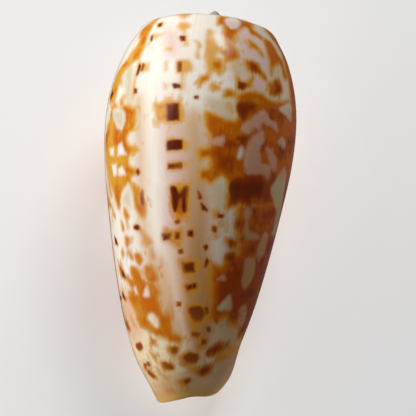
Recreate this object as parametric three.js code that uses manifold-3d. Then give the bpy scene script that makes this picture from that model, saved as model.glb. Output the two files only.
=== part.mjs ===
// Cone shell: an empty, inflated sea-snail shell of one piece, lying on its aperture.
// Millimetres, +Z up, +Y towards the spire, +X to the right when the back of the shell is seen from above.
// The surface is a spiral. A section of the wall, given as radius and height at a growth angle, turns about
// the coiling axis and shrinks as it goes back in time, so that each older whorl lies inside the next one.
import * as THREE from "three";
import { ParametricGeometry } from "three/addons/geometries/ParametricGeometry.js";
import { mergeGeometries, mergeVertices } from "three/addons/utils/BufferGeometryUtils.js";
import Module from "manifold-3d";

// Height of the apex above the anterior end, before its tip is rounded off. The finished shell is 60 long.
const SHELL_LENGTH = 60.4;

// Spiral growth. Angles are degrees about the axis: 0 faces away from the aperture, 90 is the +X side,
// and older shell has the larger angle. The last whorl widens slowly, the spire whorls widen faster.
const GROWTH_PER_TURN = 1.23;
const SPIRE_GROWTH_PER_TURN = 1.38;
const SPIRE_STARTS_AFTER_TURNS = 0.9;
const SPIRE_BLEND_TURNS = 0.6;
const SIZE_ANGLE = -90;
const TURN = 360;

// Spire: depth of the shoulder seam below the apex, as a straight slope, a share that only the last whorls
// have and a small steep nub at the apex, and the rounded ramp between two seams, as a fraction of the way out
// and a lift in millimetres.
const SPIRE_SLOPE = 2.73;
const SPIRE_SHOULDER = 1.5;
const SPIRE_SHOULDER_POWER = 4;
const NUB_DEPTH = 1.67;
const NUB_SIZE = 0.08;
const SEAM_RADIUS = 10.85;
const RAMP = [
  { out: 0.22, lift: 0.03 },
  { out: 0.55, lift: 0.75 },
  { out: 0.84, lift: 0.4 },
];
const APEX_DOME = 0.25;

// Outer wall of the last whorl at SIZE_ANGLE, from the shoulder seam to the anterior end: radius, height,
// and the growth angle of the lip's edge there.
const WALL = [
  { radius: SEAM_RADIUS, height: 54.5, lip: -158 },
  { radius: 12.75, height: 50.9, lip: -155 },
  { radius: 14.2, height: 46.0, lip: -150 },
  { radius: 14.8, height: 40.8, lip: -145.5 },
  { radius: 14.5, height: 34.4, lip: -141 },
  { radius: 13.3, height: 27.0, lip: -136.5 },
  { radius: 11.8, height: 19.6, lip: -131 },
  { radius: 9.9, height: 12.2, lip: -125 },
  { radius: 7.75, height: 6.6, lip: -117 },
  { radius: 5.3, height: 2.7, lip: -109 },
  { radius: 4.1, height: 0.8, lip: -90 },
];

// The last half turn swells a little at the shoulder: its seam is lifted, and its upper wall is wider by a
// share that fades out down the wall.
const LIFT_FROM = 50;
const LIFT_TO = -30;
const LATE_LIFT = 0.92;
const SWELL_FROM = 60;
const SWELL_TO = -90;
const LATE_SWELL = 0.03;
const SWELL_REACH = 0.45;

// Anterior rim: heights at even steps of angle, from the lip over the lobe and the back to the columella.
const RIM_FROM = -95;
const RIM_TO = 90;
const RIM_HEIGHTS = [0.9, 0.15, 0.4, 1.1, 1.5, 2.6];

// Siphonal band: a low swelling that winds around the anterior end on the right and underneath.
const BAND_SWELL = 1.4;
const BAND_HEIGHT = 4.1;
const BAND_CLIMB = 1.8;
const BAND_CLIMBS_FROM = 60;
const BAND_CLIMBS_TO = 240;
const BAND_WIDTH = 3.4;
const BAND_STARTS_FROM = 20;
const BAND_STARTS_TO = 75;
const BAND_FADES_FROM = 180;
const BAND_FADES_TO = 270;

// The wall that the next whorl covers lies closer to the axis, most of all at the anterior end.
const COVERED_FROM = 105;
const COVERED_TO = 235;
const COVERED_DROP_TOP = 0.05;
const COVERED_DROP_END = 0.57;
const COVERED_DROP_POWER = 1.3;

// Wall thickness at the lip's edge and inside, and how far back the hollow reaches, in degrees.
const LIP_THICKNESS = 0.6;
const WALL_THICKNESS = 1.0;
const THICKENS_OVER = 35;
const LIP_ROUND = 0.2;
const HOLLOW_AT_END = 180;
const HOLLOW_AT_SHOULDER = 292.5;
const HOLLOW_END_POWER = 4;
const ROOF_KNOT = 4.5;
const ROOF_FULL_KNOT = 6.2;
const LAST_TANGENT_AT = 0.999;

// Resting pose: the shell rolls a little and its spire end is lifted by its own width. A trace is worn off
// underneath, so that it lies on small true flats.
const REST_PITCH = 10.5;
const REST_ROLL = 5.1;
const REST_WEAR = 0.15;

// Mesh resolution.
const STEP_ANGLE = 7.5;
const SPIRE_TURNS = 10;
const RAMP_STEPS = 4;
const WALL_STEPS = 22;
const MERGE_DISTANCE = 1e-3;

const SEAM_KNOT = RAMP.length + 1;
const LAST_KNOT = SEAM_KNOT + WALL.length - 1;
const WALL_TOP = WALL[0].height;
const WALL_END = WALL[WALL.length - 1].height;
const TURN_STEPS = TURN / STEP_ANGLE;
const HOLLOW_STEPS = HOLLOW_AT_END / STEP_ANGLE;

const rim = new THREE.SplineCurve(RIM_HEIGHTS.map((height, i) => new THREE.Vector2(i, height)));

const radians = THREE.MathUtils.degToRad;
const smoothstep = THREE.MathUtils.smoothstep;

// Size of the shell at a growth angle, as a share of its size at SIZE_ANGLE.
function sizeAt(angle) {
  const turns = (angle - SIZE_ANGLE) / TURN;
  const late = Math.max(0, turns - SPIRE_STARTS_AFTER_TURNS);
  const blended = late < SPIRE_BLEND_TURNS
    ? (late * late) / (2 * SPIRE_BLEND_TURNS)
    : late - SPIRE_BLEND_TURNS / 2;
  const extra = Math.log(SPIRE_GROWTH_PER_TURN / GROWTH_PER_TURN);
  return Math.exp(-turns * Math.log(GROWTH_PER_TURN) - blended * extra);
}

// Swelling of the last half turn at a growth angle.
function swellAt(angle) {
  return LATE_SWELL * smoothstep(-angle, -SWELL_FROM, -SWELL_TO);
}

function seamAt(angle) {
  const size = sizeAt(angle);
  const shoulder = SPIRE_SHOULDER * size ** SPIRE_SHOULDER_POWER;
  const nub = NUB_DEPTH * (1 - Math.exp(-size / NUB_SIZE));
  const lift = LATE_LIFT * smoothstep(-angle, -LIFT_FROM, -LIFT_TO);
  const height = SHELL_LENGTH - SPIRE_SLOPE * size - shoulder - nub + lift;
  return new THREE.Vector2(SEAM_RADIUS * size * (1 + swellAt(angle)), height);
}

function rimHeight(angle) {
  const along = THREE.MathUtils.clamp((angle - RIM_FROM) / (RIM_TO - RIM_FROM), 0, 1);
  return rim.getPoint(along).y;
}

// Section of the outer surface at a growth angle: ramp from the older seam to the seam, then the wall.
function sectionAt(angle) {
  const size = sizeAt(angle);
  const seam = seamAt(angle);
  const olderSeam = seamAt(angle + TURN);
  const points = [olderSeam];
  for (const step of RAMP) {
    const point = olderSeam.clone().lerp(seam, step.out);
    point.y += step.lift * size;
    points.push(point);
  }
  points.push(seam);
  const scaledLength = (WALL_TOP - WALL_END) * size;
  const stretch = (seam.y - rimHeight(angle)) / scaledLength - 1;
  const covered = smoothstep(angle, COVERED_FROM, COVERED_TO);
  for (const knot of WALL.slice(1)) {
    const depth = (WALL_TOP - knot.height) * size;
    const share = (WALL_TOP - knot.height) / (WALL_TOP - WALL_END);
    const drop = COVERED_DROP_TOP + COVERED_DROP_END * share ** COVERED_DROP_POWER;
    const swell = 1 + swellAt(angle) * (1 - smoothstep(share, 0, SWELL_REACH));
    points.push(new THREE.Vector2(
      knot.radius * size * (1 - covered * drop) * swell,
      seam.y - depth * (1 + stretch * depth / scaledLength),
    ));
  }
  return new THREE.SplineCurve(points);
}

function bandSwell(angle, height) {
  const centre = BAND_HEIGHT + BAND_CLIMB * smoothstep(angle, BAND_CLIMBS_FROM, BAND_CLIMBS_TO);
  const across = Math.exp(-(((height - centre) / BAND_WIDTH) ** 2));
  const started = smoothstep(angle, BAND_STARTS_FROM, BAND_STARTS_TO);
  const faded = smoothstep(angle, BAND_FADES_FROM, BAND_FADES_TO);
  return BAND_SWELL * across * started * (1 - faded);
}

// Growth angle of the lip's edge at a knot number, which may lie between two knots.
function lipAt(knot) {
  const place = THREE.MathUtils.clamp(knot - SEAM_KNOT, 0, WALL.length - 1);
  const low = Math.min(Math.floor(place), WALL.length - 2);
  return THREE.MathUtils.lerp(WALL[low].lip, WALL[low + 1].lip, place - low);
}

function atAngle(angle, radius, height) {
  const turn = radians(angle);
  return new THREE.Vector3(radius * Math.sin(turn), height, radius * Math.cos(turn));
}

// Radius and height of the outer surface, by the angle behind the lip and the knot number.
function outerSection(behind, knot) {
  const angle = lipAt(knot) + behind;
  const point = sectionAt(angle).getPoint(knot / LAST_KNOT);
  point.x += bandSwell(angle, point.y);
  return point;
}

function outer(behind, knot) {
  const point = outerSection(behind, knot);
  return atAngle(lipAt(knot) + behind, point.x, point.y);
}

// The same point moved into the wall, square to the section.
function insetSection(behind, knot, depth) {
  const angle = lipAt(knot) + behind;
  const tangent = sectionAt(angle).getTangent(Math.min(knot / LAST_KNOT, LAST_TANGENT_AT));
  const point = outerSection(behind, knot);
  return new THREE.Vector2(point.x + tangent.y * depth, point.y - tangent.x * depth);
}

function hollowDepth(knot) {
  const share = (LAST_KNOT - knot) / (LAST_KNOT - ROOF_KNOT);
  return THREE.MathUtils.lerp(HOLLOW_AT_END, HOLLOW_AT_SHOULDER, smoothstep(share, 0, 1));
}

// Floor of the hollow: the older whorl's outer surface, one turn back.
function floor(share, knot) {
  return outer(TURN + share * hollowDepth(knot), knot);
}

// Ceiling of the hollow: the inner side of the last whorl's wall, which meets the floor at the far end and
// along the roof under the shoulder.
function ceiling(share, knot) {
  const behind = share * hollowDepth(knot);
  const under = outerSection(TURN + behind, knot);
  const thickness = THREE.MathUtils.lerp(LIP_THICKNESS, WALL_THICKNESS, smoothstep(behind, 0, THICKENS_OVER));
  const inside = insetSection(behind, knot, thickness);
  const open = Math.sqrt(1 - share ** HOLLOW_END_POWER);
  const belowRoof = THREE.MathUtils.clamp((knot - ROOF_KNOT) / (ROOF_FULL_KNOT - ROOF_KNOT), 0, 1);
  const clear = Math.sqrt(1 - (1 - belowRoof) ** 2);
  const point = under.lerp(inside, open * clear);
  return atAngle(lipAt(knot) + behind, point.x, point.y);
}

// Grid of points as a surface: rows run along the first index.
function patch(columns, rows, place, reversed = false) {
  const geometry = new ParametricGeometry((u, v, target) => {
    const across = reversed ? 1 - u : u;
    target.copy(place(Math.round(across * columns), Math.round(v * rows)));
  }, columns, rows);
  return geometry.deleteAttribute("normal").deleteAttribute("uv");
}

// Knot number of each row of the wall: the anterior end is row 0, then the seam is the last row, with the
// roof of the hollow two rows before it.
const wallKnots = [];
for (let row = 0; row <= WALL_STEPS; row += 1) {
  wallKnots.push(LAST_KNOT - (row * (LAST_KNOT - ROOF_KNOT)) / WALL_STEPS);
}
wallKnots.push((ROOF_KNOT + SEAM_KNOT) / 2, SEAM_KNOT);
const SEAM_ROW = WALL_STEPS + 2;

function wallPoint(column, row) {
  return outer(column * STEP_ANGLE, wallKnots[row]);
}

function rampPoint(column, row) {
  if (row === RAMP_STEPS) return outer((column + TURN_STEPS) * STEP_ANGLE, SEAM_KNOT);
  return outer(column * STEP_ANGLE, SEAM_KNOT * (1 - row / RAMP_STEPS));
}

function floorPoint(column, row) {
  return floor(column / HOLLOW_STEPS, wallKnots[row]);
}

function ceilingPoint(column, row) {
  if (column === HOLLOW_STEPS || row === WALL_STEPS) return floorPoint(column, row);
  return ceiling(column / HOLLOW_STEPS, wallKnots[row]);
}

// Triangles between two lines of points that share their ends' neighbours, always taking the shorter step.
function zipper(left, right) {
  const corners = [];
  let i = 0;
  let j = 0;
  while (i < left.length - 1 || j < right.length - 1) {
    const viaLeft = i < left.length - 1 ? left[i + 1].distanceTo(right[j]) : Infinity;
    const viaRight = j < right.length - 1 ? right[j + 1].distanceTo(left[i]) : Infinity;
    if (viaLeft <= viaRight) {
      corners.push(left[i], left[i + 1], right[j]);
      i += 1;
    } else {
      corners.push(left[i], right[j + 1], right[j]);
      j += 1;
    }
  }
  return new THREE.BufferGeometry().setFromPoints(corners);
}

// Triangles from a closed loop of points to one centre.
function fan(loop, centre) {
  const corners = loop.flatMap((point, i) => [point, loop[(i + 1) % loop.length], centre]);
  return new THREE.BufferGeometry().setFromPoints(corners);
}

function middleOf(loop) {
  return loop.reduce((sum, point) => sum.add(point), new THREE.Vector3()).divideScalar(loop.length);
}

// Edge line of the shell: back along the anterior rim to the lobe, up the lip, over the shoulder to the seam.
const outerEdge = [];
const middleEdge = [];
const innerEdge = [];
for (let column = HOLLOW_STEPS; column > 0; column -= 1) {
  outerEdge.push(wallPoint(column, 0));
  innerEdge.push(ceilingPoint(column, 0));
  const middle = outerEdge.at(-1).clone().lerp(innerEdge.at(-1), 0.5);
  middle.y -= LIP_ROUND;
  middleEdge.push(middle);
}
for (let row = 0; row <= SEAM_ROW; row += 1) {
  outerEdge.push(wallPoint(0, row));
  if (row <= WALL_STEPS) innerEdge.push(ceilingPoint(0, row));
  const inside = insetSection(0, wallKnots[row], LIP_THICKNESS / 2);
  const ahead = THREE.MathUtils.radToDeg(LIP_ROUND / inside.x);
  middleEdge.push(atAngle(lipAt(wallKnots[row]) - ahead, inside.x, inside.y));
}
for (let row = 1; row <= RAMP_STEPS; row += 1) {
  outerEdge.push(rampPoint(0, row));
  if (row === RAMP_STEPS) break;
  const knot = SEAM_KNOT * (1 - row / RAMP_STEPS);
  const inside = insetSection(0, knot, LIP_THICKNESS / 2);
  const ahead = THREE.MathUtils.radToDeg(LIP_ROUND / inside.x);
  middleEdge.push(atAngle(lipAt(knot) - ahead, inside.x, inside.y));
}
middleEdge.push(wallPoint(TURN_STEPS, SEAM_ROW - 1));

// Anterior tip of the columella: the rim's free end and the older wall close it.
const tipLoop = [];
for (let column = HOLLOW_STEPS; column < TURN_STEPS; column += 1) tipLoop.push(wallPoint(column, 0));
for (let column = 0; column <= HOLLOW_STEPS; column += 1) tipLoop.push(floorPoint(column, 0));
tipLoop.push(middleEdge[0]);
const tipCentre = middleOf(tipLoop);

// Apex: the last turn of the ramp closes over a small dome.
const apexLoop = [];
const firstApexColumn = (SPIRE_TURNS - 1) * TURN_STEPS;
for (let column = firstApexColumn; column <= SPIRE_TURNS * TURN_STEPS; column += 1) {
  apexLoop.push(rampPoint(column, RAMP_STEPS));
}
for (let row = RAMP_STEPS - 1; row > 0; row -= 1) apexLoop.push(rampPoint(SPIRE_TURNS * TURN_STEPS, row));
const apexCentre = middleOf(apexLoop);
apexCentre.y += APEX_DOME;

const merged = mergeVertices(mergeGeometries([
  patch(TURN_STEPS, SEAM_ROW, wallPoint),
  patch(SPIRE_TURNS * TURN_STEPS, RAMP_STEPS, rampPoint),
  patch(HOLLOW_STEPS, WALL_STEPS, floorPoint),
  patch(HOLLOW_STEPS, WALL_STEPS, ceilingPoint, true),
  zipper(outerEdge, middleEdge),
  zipper(middleEdge, innerEdge),
  fan(tipLoop.reverse(), tipCentre),
  fan(apexLoop, apexCentre),
].map((piece) => (piece.index ? piece.toNonIndexed() : piece))), MERGE_DISTANCE);

// Lay the shell down and wear its underside flat where it touches.
merged.rotateY(radians(REST_ROLL));
merged.rotateX(radians(REST_PITCH));
merged.computeBoundingBox();
const lying = merged.boundingBox;
merged.translate(
  -(lying.min.x + lying.max.x) / 2,
  -(lying.min.y + lying.max.y) / 2,
  -lying.min.z - REST_WEAR,
);

const wasm = await Module();
wasm.setup();

function toSolid(geometry) {
  return new wasm.Manifold(new wasm.Mesh({
    numProp: 3,
    vertProperties: geometry.attributes.position.array,
    triVerts: new Uint32Array(geometry.index.array),
  }));
}

function toGeometry(solid) {
  const mesh = solid.getMesh();
  const geometry = new THREE.BufferGeometry();
  geometry.setAttribute("position", new THREE.BufferAttribute(mesh.vertProperties, 3));
  geometry.setIndex(new THREE.BufferAttribute(mesh.triVerts, 1));
  return geometry;
}

const groundBox = new THREE.BoxGeometry(2 * SHELL_LENGTH, 2 * SHELL_LENGTH, SHELL_LENGTH);
groundBox.translate(0, 0, -SHELL_LENGTH / 2);
groundBox.deleteAttribute("normal").deleteAttribute("uv");
const ground = mergeVertices(groundBox, MERGE_DISTANCE);

const shell = new THREE.Mesh(
  toGeometry(toSolid(merged).subtract(toSolid(ground))),
  new THREE.MeshStandardMaterial({ color: 0xe6c8a0, roughness: 0.15, metalness: 0 }),
);
shell.name = "shell";
shell.geometry.computeVertexNormals();

const part = new THREE.Group();
part.name = "cone shell";
part.add(shell);

export default part;
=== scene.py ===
"""Looks of a cone shell: one glossy sea-snail shell that lies on its aperture on a pale studio floor.

The shell's surface is a spiral worked out with numpy. A section of the wall, given as radius and height at a
growth angle, turns about the coiling axis and shrinks as it goes back in time. Its markings are drawn as shapes
on that surface and reach the material as distances from their outlines.
"""
from __future__ import annotations

import logging
import math
from dataclasses import dataclass, field
from enum import Enum

import bpy
import numpy as np
from mathutils import Matrix

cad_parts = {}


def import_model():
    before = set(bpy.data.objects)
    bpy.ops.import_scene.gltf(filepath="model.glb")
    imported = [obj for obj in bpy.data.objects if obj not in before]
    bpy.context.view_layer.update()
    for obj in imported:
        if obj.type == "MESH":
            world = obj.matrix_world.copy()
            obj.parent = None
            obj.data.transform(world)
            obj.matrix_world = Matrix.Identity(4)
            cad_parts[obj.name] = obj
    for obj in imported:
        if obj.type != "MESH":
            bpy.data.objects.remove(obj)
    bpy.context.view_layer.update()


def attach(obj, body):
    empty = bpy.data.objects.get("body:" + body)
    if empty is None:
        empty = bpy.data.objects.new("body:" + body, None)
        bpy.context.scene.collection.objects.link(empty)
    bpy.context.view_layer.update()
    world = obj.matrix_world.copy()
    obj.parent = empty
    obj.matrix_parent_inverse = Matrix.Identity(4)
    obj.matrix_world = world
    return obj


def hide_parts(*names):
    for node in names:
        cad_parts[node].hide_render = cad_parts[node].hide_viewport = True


LOG = logging.getLogger("cone_shell")
MM = 0.001
TURN = 360.0
TINY = 1e-12
Array = np.ndarray


def smoothstep(values: Array, low: float, high: float) -> Array:
    """Smooth ramp from 0 at low to 1 at high: 3 t^2 - 2 t^3.

    Args:
        values: Numbers to map.
        low: Where the ramp leaves 0.
        high: Where it reaches 1.

    Returns:
        The ramp's value for each number.
    """
    t = np.clip((values - low) / (high - low), 0.0, 1.0)
    return t * t * (3.0 - 2.0 * t)


def spline(points: Array, place: Array) -> Array:
    """Catmull-Rom curve through points, with its end points repeated.

    Args:
        points: Control points, shape (count, ..., dimensions).
        place: Position along the curve in steps from one point to the next, shape (...).

    Returns:
        The curve's points, shape (..., dimensions).
    """
    count = len(points)
    low = np.clip(np.floor(place).astype(int), 0, count - 2)
    t = (place - low)[..., None]

    def take(index: Array) -> Array:
        """Control points by number, held at both ends."""
        held = np.clip(index, 0, count - 1)
        return np.take_along_axis(points, held[None, ..., None], 0)[0]

    before, first, second, after = take(low - 1), take(low), take(low + 1), take(low + 2)
    leave, arrive = (second - before) * 0.5, (after - first) * 0.5
    cubic = 2.0 * first - 2.0 * second + leave + arrive
    square = -3.0 * first + 3.0 * second - 2.0 * leave - arrive
    return ((cubic * t + square) * t + leave) * t + first


@dataclass(frozen=True)
class Growth:
    """Spiral growth of the shell: sizes in millimetres, angles in degrees about the coiling axis.

    Angle 0 faces away from the aperture, 90 is the +X side, and older shell has the larger angle. A knot number
    runs along the section: 0 is the older seam, seam_knot the whorl's own seam, last_knot the anterior end.
    """

    length: float = 60.4
    per_turn: float = 1.23
    spire_per_turn: float = 1.38
    spire_after_turns: float = 0.9
    spire_blend_turns: float = 0.6
    size_angle: float = -90.0
    spire_slope: float = 2.73
    spire_shoulder: float = 1.5
    spire_shoulder_power: float = 4.0
    nub_depth: float = 1.67
    nub_size: float = 0.08
    ramp: tuple[tuple[float, float], ...] = ((0.22, 0.03), (0.55, 0.75), (0.84, 0.4))
    apex_dome: float = 0.25
    wall: tuple[tuple[float, float, float], ...] = (
        (10.85, 54.5, -158.0),
        (12.75, 50.9, -155.0),
        (14.2, 46.0, -150.0),
        (14.8, 40.8, -145.5),
        (14.5, 34.4, -141.0),
        (13.3, 27.0, -136.5),
        (11.8, 19.6, -131.0),
        (9.9, 12.2, -125.0),
        (7.75, 6.6, -117.0),
        (5.3, 2.7, -109.0),
        (4.1, 0.8, -90.0),
    )
    lift_over: tuple[float, float] = (50.0, -30.0)
    late_lift: float = 0.92
    swell_over: tuple[float, float] = (60.0, -90.0)
    late_swell: float = 0.03
    swell_reach: float = 0.45
    rim: tuple[float, float] = (-95.0, 90.0)
    rim_heights: tuple[float, ...] = (0.9, 0.15, 0.4, 1.1, 1.5, 2.6)
    band_swell: float = 1.4
    band_height: float = 4.1
    band_climb: float = 1.8
    band_climb_over: tuple[float, float] = (60.0, 240.0)
    band_width: float = 3.4
    band_starts: tuple[float, float] = (20.0, 75.0)
    band_fades: tuple[float, float] = (180.0, 270.0)
    covered: tuple[float, float] = (105.0, 235.0)
    covered_drop_top: float = 0.05
    covered_drop_end: float = 0.57
    covered_drop_power: float = 1.3
    lip_thickness: float = 0.6
    wall_thickness: float = 1.0
    thickens_over: float = 35.0
    lip_round: float = 0.25
    hollow_at_end: float = 179.0
    hollow_at_shoulder: float = 292.5
    hollow_end_power: float = 4.0
    roof_knot: float = 4.5
    roof_full_knot: float = 6.2

    @property
    def seam_knot(self) -> int:
        """Knot number of the whorl's own seam."""
        return len(self.ramp) + 1

    @property
    def last_knot(self) -> int:
        """Knot number of the anterior end."""
        return self.seam_knot + len(self.wall) - 1

    def size_at(self, angle: Array) -> Array:
        """Size of the shell at a growth angle as a share of its size at size_angle.

        The size falls by per_turn with each turn back, and by spire_per_turn in the spire, blended smoothly.

        Args:
            angle: Growth angles, shape (...).

        Returns:
            Sizes, shape (...).
        """
        turns = (angle - self.size_angle) / TURN
        late = np.maximum(0.0, turns - self.spire_after_turns)
        blend = self.spire_blend_turns
        blended = np.where(late < blend, late * late / (2.0 * blend), late - blend / 2.0)
        extra = math.log(self.spire_per_turn / self.per_turn)
        return np.exp(-turns * math.log(self.per_turn) - blended * extra)

    def swell_at(self, angle: Array) -> Array:
        """Swelling of the last half turn at a growth angle, as a share of the radius."""
        return self.late_swell * smoothstep(-angle, -self.swell_over[0], -self.swell_over[1])

    def seam_at(self, angle: Array) -> Array:
        """Radius and height of the shoulder seam.

        Its depth below the apex is a straight slope, a share that only late whorls have and a small steep nub.

        Args:
            angle: Growth angles, shape (...).

        Returns:
            Radius and height, shape (..., 2).
        """
        size = self.size_at(angle)
        shoulder = self.spire_shoulder * size**self.spire_shoulder_power
        nub = self.nub_depth * (1.0 - np.exp(-size / self.nub_size))
        lift = self.late_lift * smoothstep(-angle, -self.lift_over[0], -self.lift_over[1])
        radius = self.wall[0][0] * size * (1.0 + self.swell_at(angle))
        return np.stack([radius, self.length - self.spire_slope * size - shoulder - nub + lift], -1)

    def rim_at(self, angle: Array) -> Array:
        """Height of the anterior rim: a curve through even steps of angle, held outside them.

        Args:
            angle: Growth angles, shape (...).

        Returns:
            Heights, shape (...).
        """
        heights = np.array(self.rim_heights)
        low, high = self.rim
        along = np.clip((angle - low) / (high - low), 0.0, 1.0) * (len(heights) - 1)
        shaped = heights.reshape((-1,) + (1,) * (np.ndim(along) + 1))
        return spline(np.broadcast_to(shaped, (len(heights),) + np.shape(along) + (1,)), along)[..., 0]

    def section_at(self, angle: Array) -> Array:
        """Control points of the section at each growth angle.

        The ramp leads from the older seam to the seam. Below it the wall is the profile at size_angle, scaled
        by the size, stretched in height to end on the rim, and drawn in where the next whorl covers it.

        Args:
            angle: Growth angles, shape (...).

        Returns:
            Radius and height of each control point, shape (knots, ..., 2).
        """
        size, swelling = self.size_at(angle), self.swell_at(angle)
        seam, older = self.seam_at(angle), self.seam_at(angle + TURN)
        points = [older]
        for out, lift in self.ramp:
            raised = older + (seam - older) * out
            raised[..., 1] += lift * size
            points.append(raised)
        points.append(seam)
        top, end = self.wall[0][1], self.wall[-1][1]
        scaled = (top - end) * size
        stretch = (seam[..., 1] - self.rim_at(angle)) / scaled - 1.0
        covered = smoothstep(angle, *self.covered)
        for radius, height, _ in self.wall[1:]:
            depth = (top - height) * size
            share = (top - height) / (top - end)
            drop = self.covered_drop_top + self.covered_drop_end * share**self.covered_drop_power
            fade = 1.0 - smoothstep(np.array(share), 0.0, self.swell_reach)
            across = radius * size * (1.0 - covered * drop) * (1.0 + swelling * fade)
            points.append(np.stack([across, seam[..., 1] - depth * (1.0 + stretch * depth / scaled)], -1))
        return np.stack(points, 0)

    def band_at(self, angle: Array, height: Array) -> Array:
        """Swelling of the siphonal band: a bell across its height, faded in and out around the shell.

        Args:
            angle: Growth angles, shape (...).
            height: Heights, shape (...).

        Returns:
            How far the band stands out, shape (...).
        """
        centre = self.band_height + self.band_climb * smoothstep(angle, *self.band_climb_over)
        across = np.exp(-(((height - centre) / self.band_width) ** 2))
        around = smoothstep(angle, *self.band_starts) * (1.0 - smoothstep(angle, *self.band_fades))
        return self.band_swell * across * around

    def lip_at(self, knot: Array) -> Array:
        """Growth angle of the lip's edge at a knot number."""
        place = np.clip(knot - self.seam_knot, 0, len(self.wall) - 1)
        return np.interp(place, np.arange(len(self.wall)), [row[2] for row in self.wall])

    def section(self, angle: Array, knot: Array) -> Array:
        """Radius and height of the outer surface at a growth angle and knot number.

        Args:
            angle: Growth angles, shape (...).
            knot: Knot numbers, shape (...).

        Returns:
            Radius and height, shape (..., 2).
        """
        point = spline(self.section_at(angle), knot)
        point[..., 0] += self.band_at(angle, point[..., 1])
        return point

    def inset(self, angle: Array, knot: Array, depth: Array) -> Array:
        """The outer section moved into the wall by depth, square to the section's tangent.

        Args:
            angle: Growth angles, shape (...).
            knot: Knot numbers, shape (...).
            depth: How far into the wall, shape (...).

        Returns:
            Radius and height, shape (..., 2).
        """
        step = 0.01
        ahead = spline(self.section_at(angle), np.minimum(knot + step, self.last_knot))
        behind = spline(self.section_at(angle), np.minimum(knot + step, self.last_knot) - 2.0 * step)
        tangent = ahead - behind
        tangent /= np.linalg.norm(tangent, axis=-1, keepdims=True)
        point = self.section(angle, knot)
        return point + np.stack([tangent[..., 1], -tangent[..., 0]], -1) * np.asarray(depth)[..., None]

    def hollow_at(self, knot: Array) -> Array:
        """How far the hollow reaches back from the lip, in degrees."""
        share = (self.last_knot - knot) / (self.last_knot - self.roof_knot)
        return self.hollow_at_end + (self.hollow_at_shoulder - self.hollow_at_end) * smoothstep(share, 0.0, 1.0)

    def floor(self, share: Array, knot: Array) -> tuple[Array, Array]:
        """Floor of the hollow: the older whorl's outer surface one turn back, as growth angle and section."""
        angle = self.lip_at(knot) + TURN + share * self.hollow_at(knot)
        return angle, self.section(angle, knot)

    def ceiling(self, share: Array, knot: Array) -> tuple[Array, Array]:
        """Ceiling of the hollow: the wall's inner side, which closes on the floor like a root of 1 - share^4.

        Args:
            share: Share of the hollow's reach behind the lip, shape (...).
            knot: Knot numbers, shape (...).

        Returns:
            Growth angles, and radius and height.
        """
        behind = share * self.hollow_at(knot)
        angle = self.lip_at(knot) + behind
        under = self.section(angle + TURN, knot)
        grown = smoothstep(behind, 0.0, self.thickens_over)
        thickness = self.lip_thickness + (self.wall_thickness - self.lip_thickness) * grown
        inside = self.inset(angle, knot, thickness)
        opened = np.sqrt(np.maximum(0.0, 1.0 - share**self.hollow_end_power))
        below = np.clip((knot - self.roof_knot) / (self.roof_full_knot - self.roof_knot), 0.0, 1.0)
        clear = np.sqrt(1.0 - (1.0 - below) ** 2)
        return angle, under + (inside - under) * (opened * clear)[..., None]


def around_axis(angle: Array, section: Array) -> Array:
    """Turns radius and height into a point: x is radius times sine, y is height, z is radius times cosine.

    Args:
        angle: Growth angles, shape (...).
        section: Radius and height, shape (..., 2).

    Returns:
        Points, shape (..., 3).
    """
    turn = np.radians(angle)
    radius, height = section[..., 0], section[..., 1]
    return np.stack([radius * np.sin(turn), height + 0.0 * radius, radius * np.cos(turn)], -1)


@dataclass(frozen=True)
class Rest:
    """How the shell lies: rolled about its axis, its spire end lifted, and worn flat where it touches."""

    pitch: float = 10.5
    roll: float = 5.1
    wear: float = 0.15

    def turn(self) -> Array:
        """Rotation matrix from the shell's own axes to the floor's: roll about Y, then pitch about X.

        Returns:
            The matrix, shape (3, 3).
        """
        roll = Matrix.Rotation(math.radians(self.roll), 3, "Y")
        pitch = Matrix.Rotation(math.radians(self.pitch), 3, "X")
        return np.array(pitch @ roll)


class Zone(Enum):
    """Parts of the surface, in the order in which a shared vertex belongs to them."""

    WALL = 0
    RAMP = 1
    FLOOR = 2
    CEILING = 3
    LIP = 4


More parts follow.
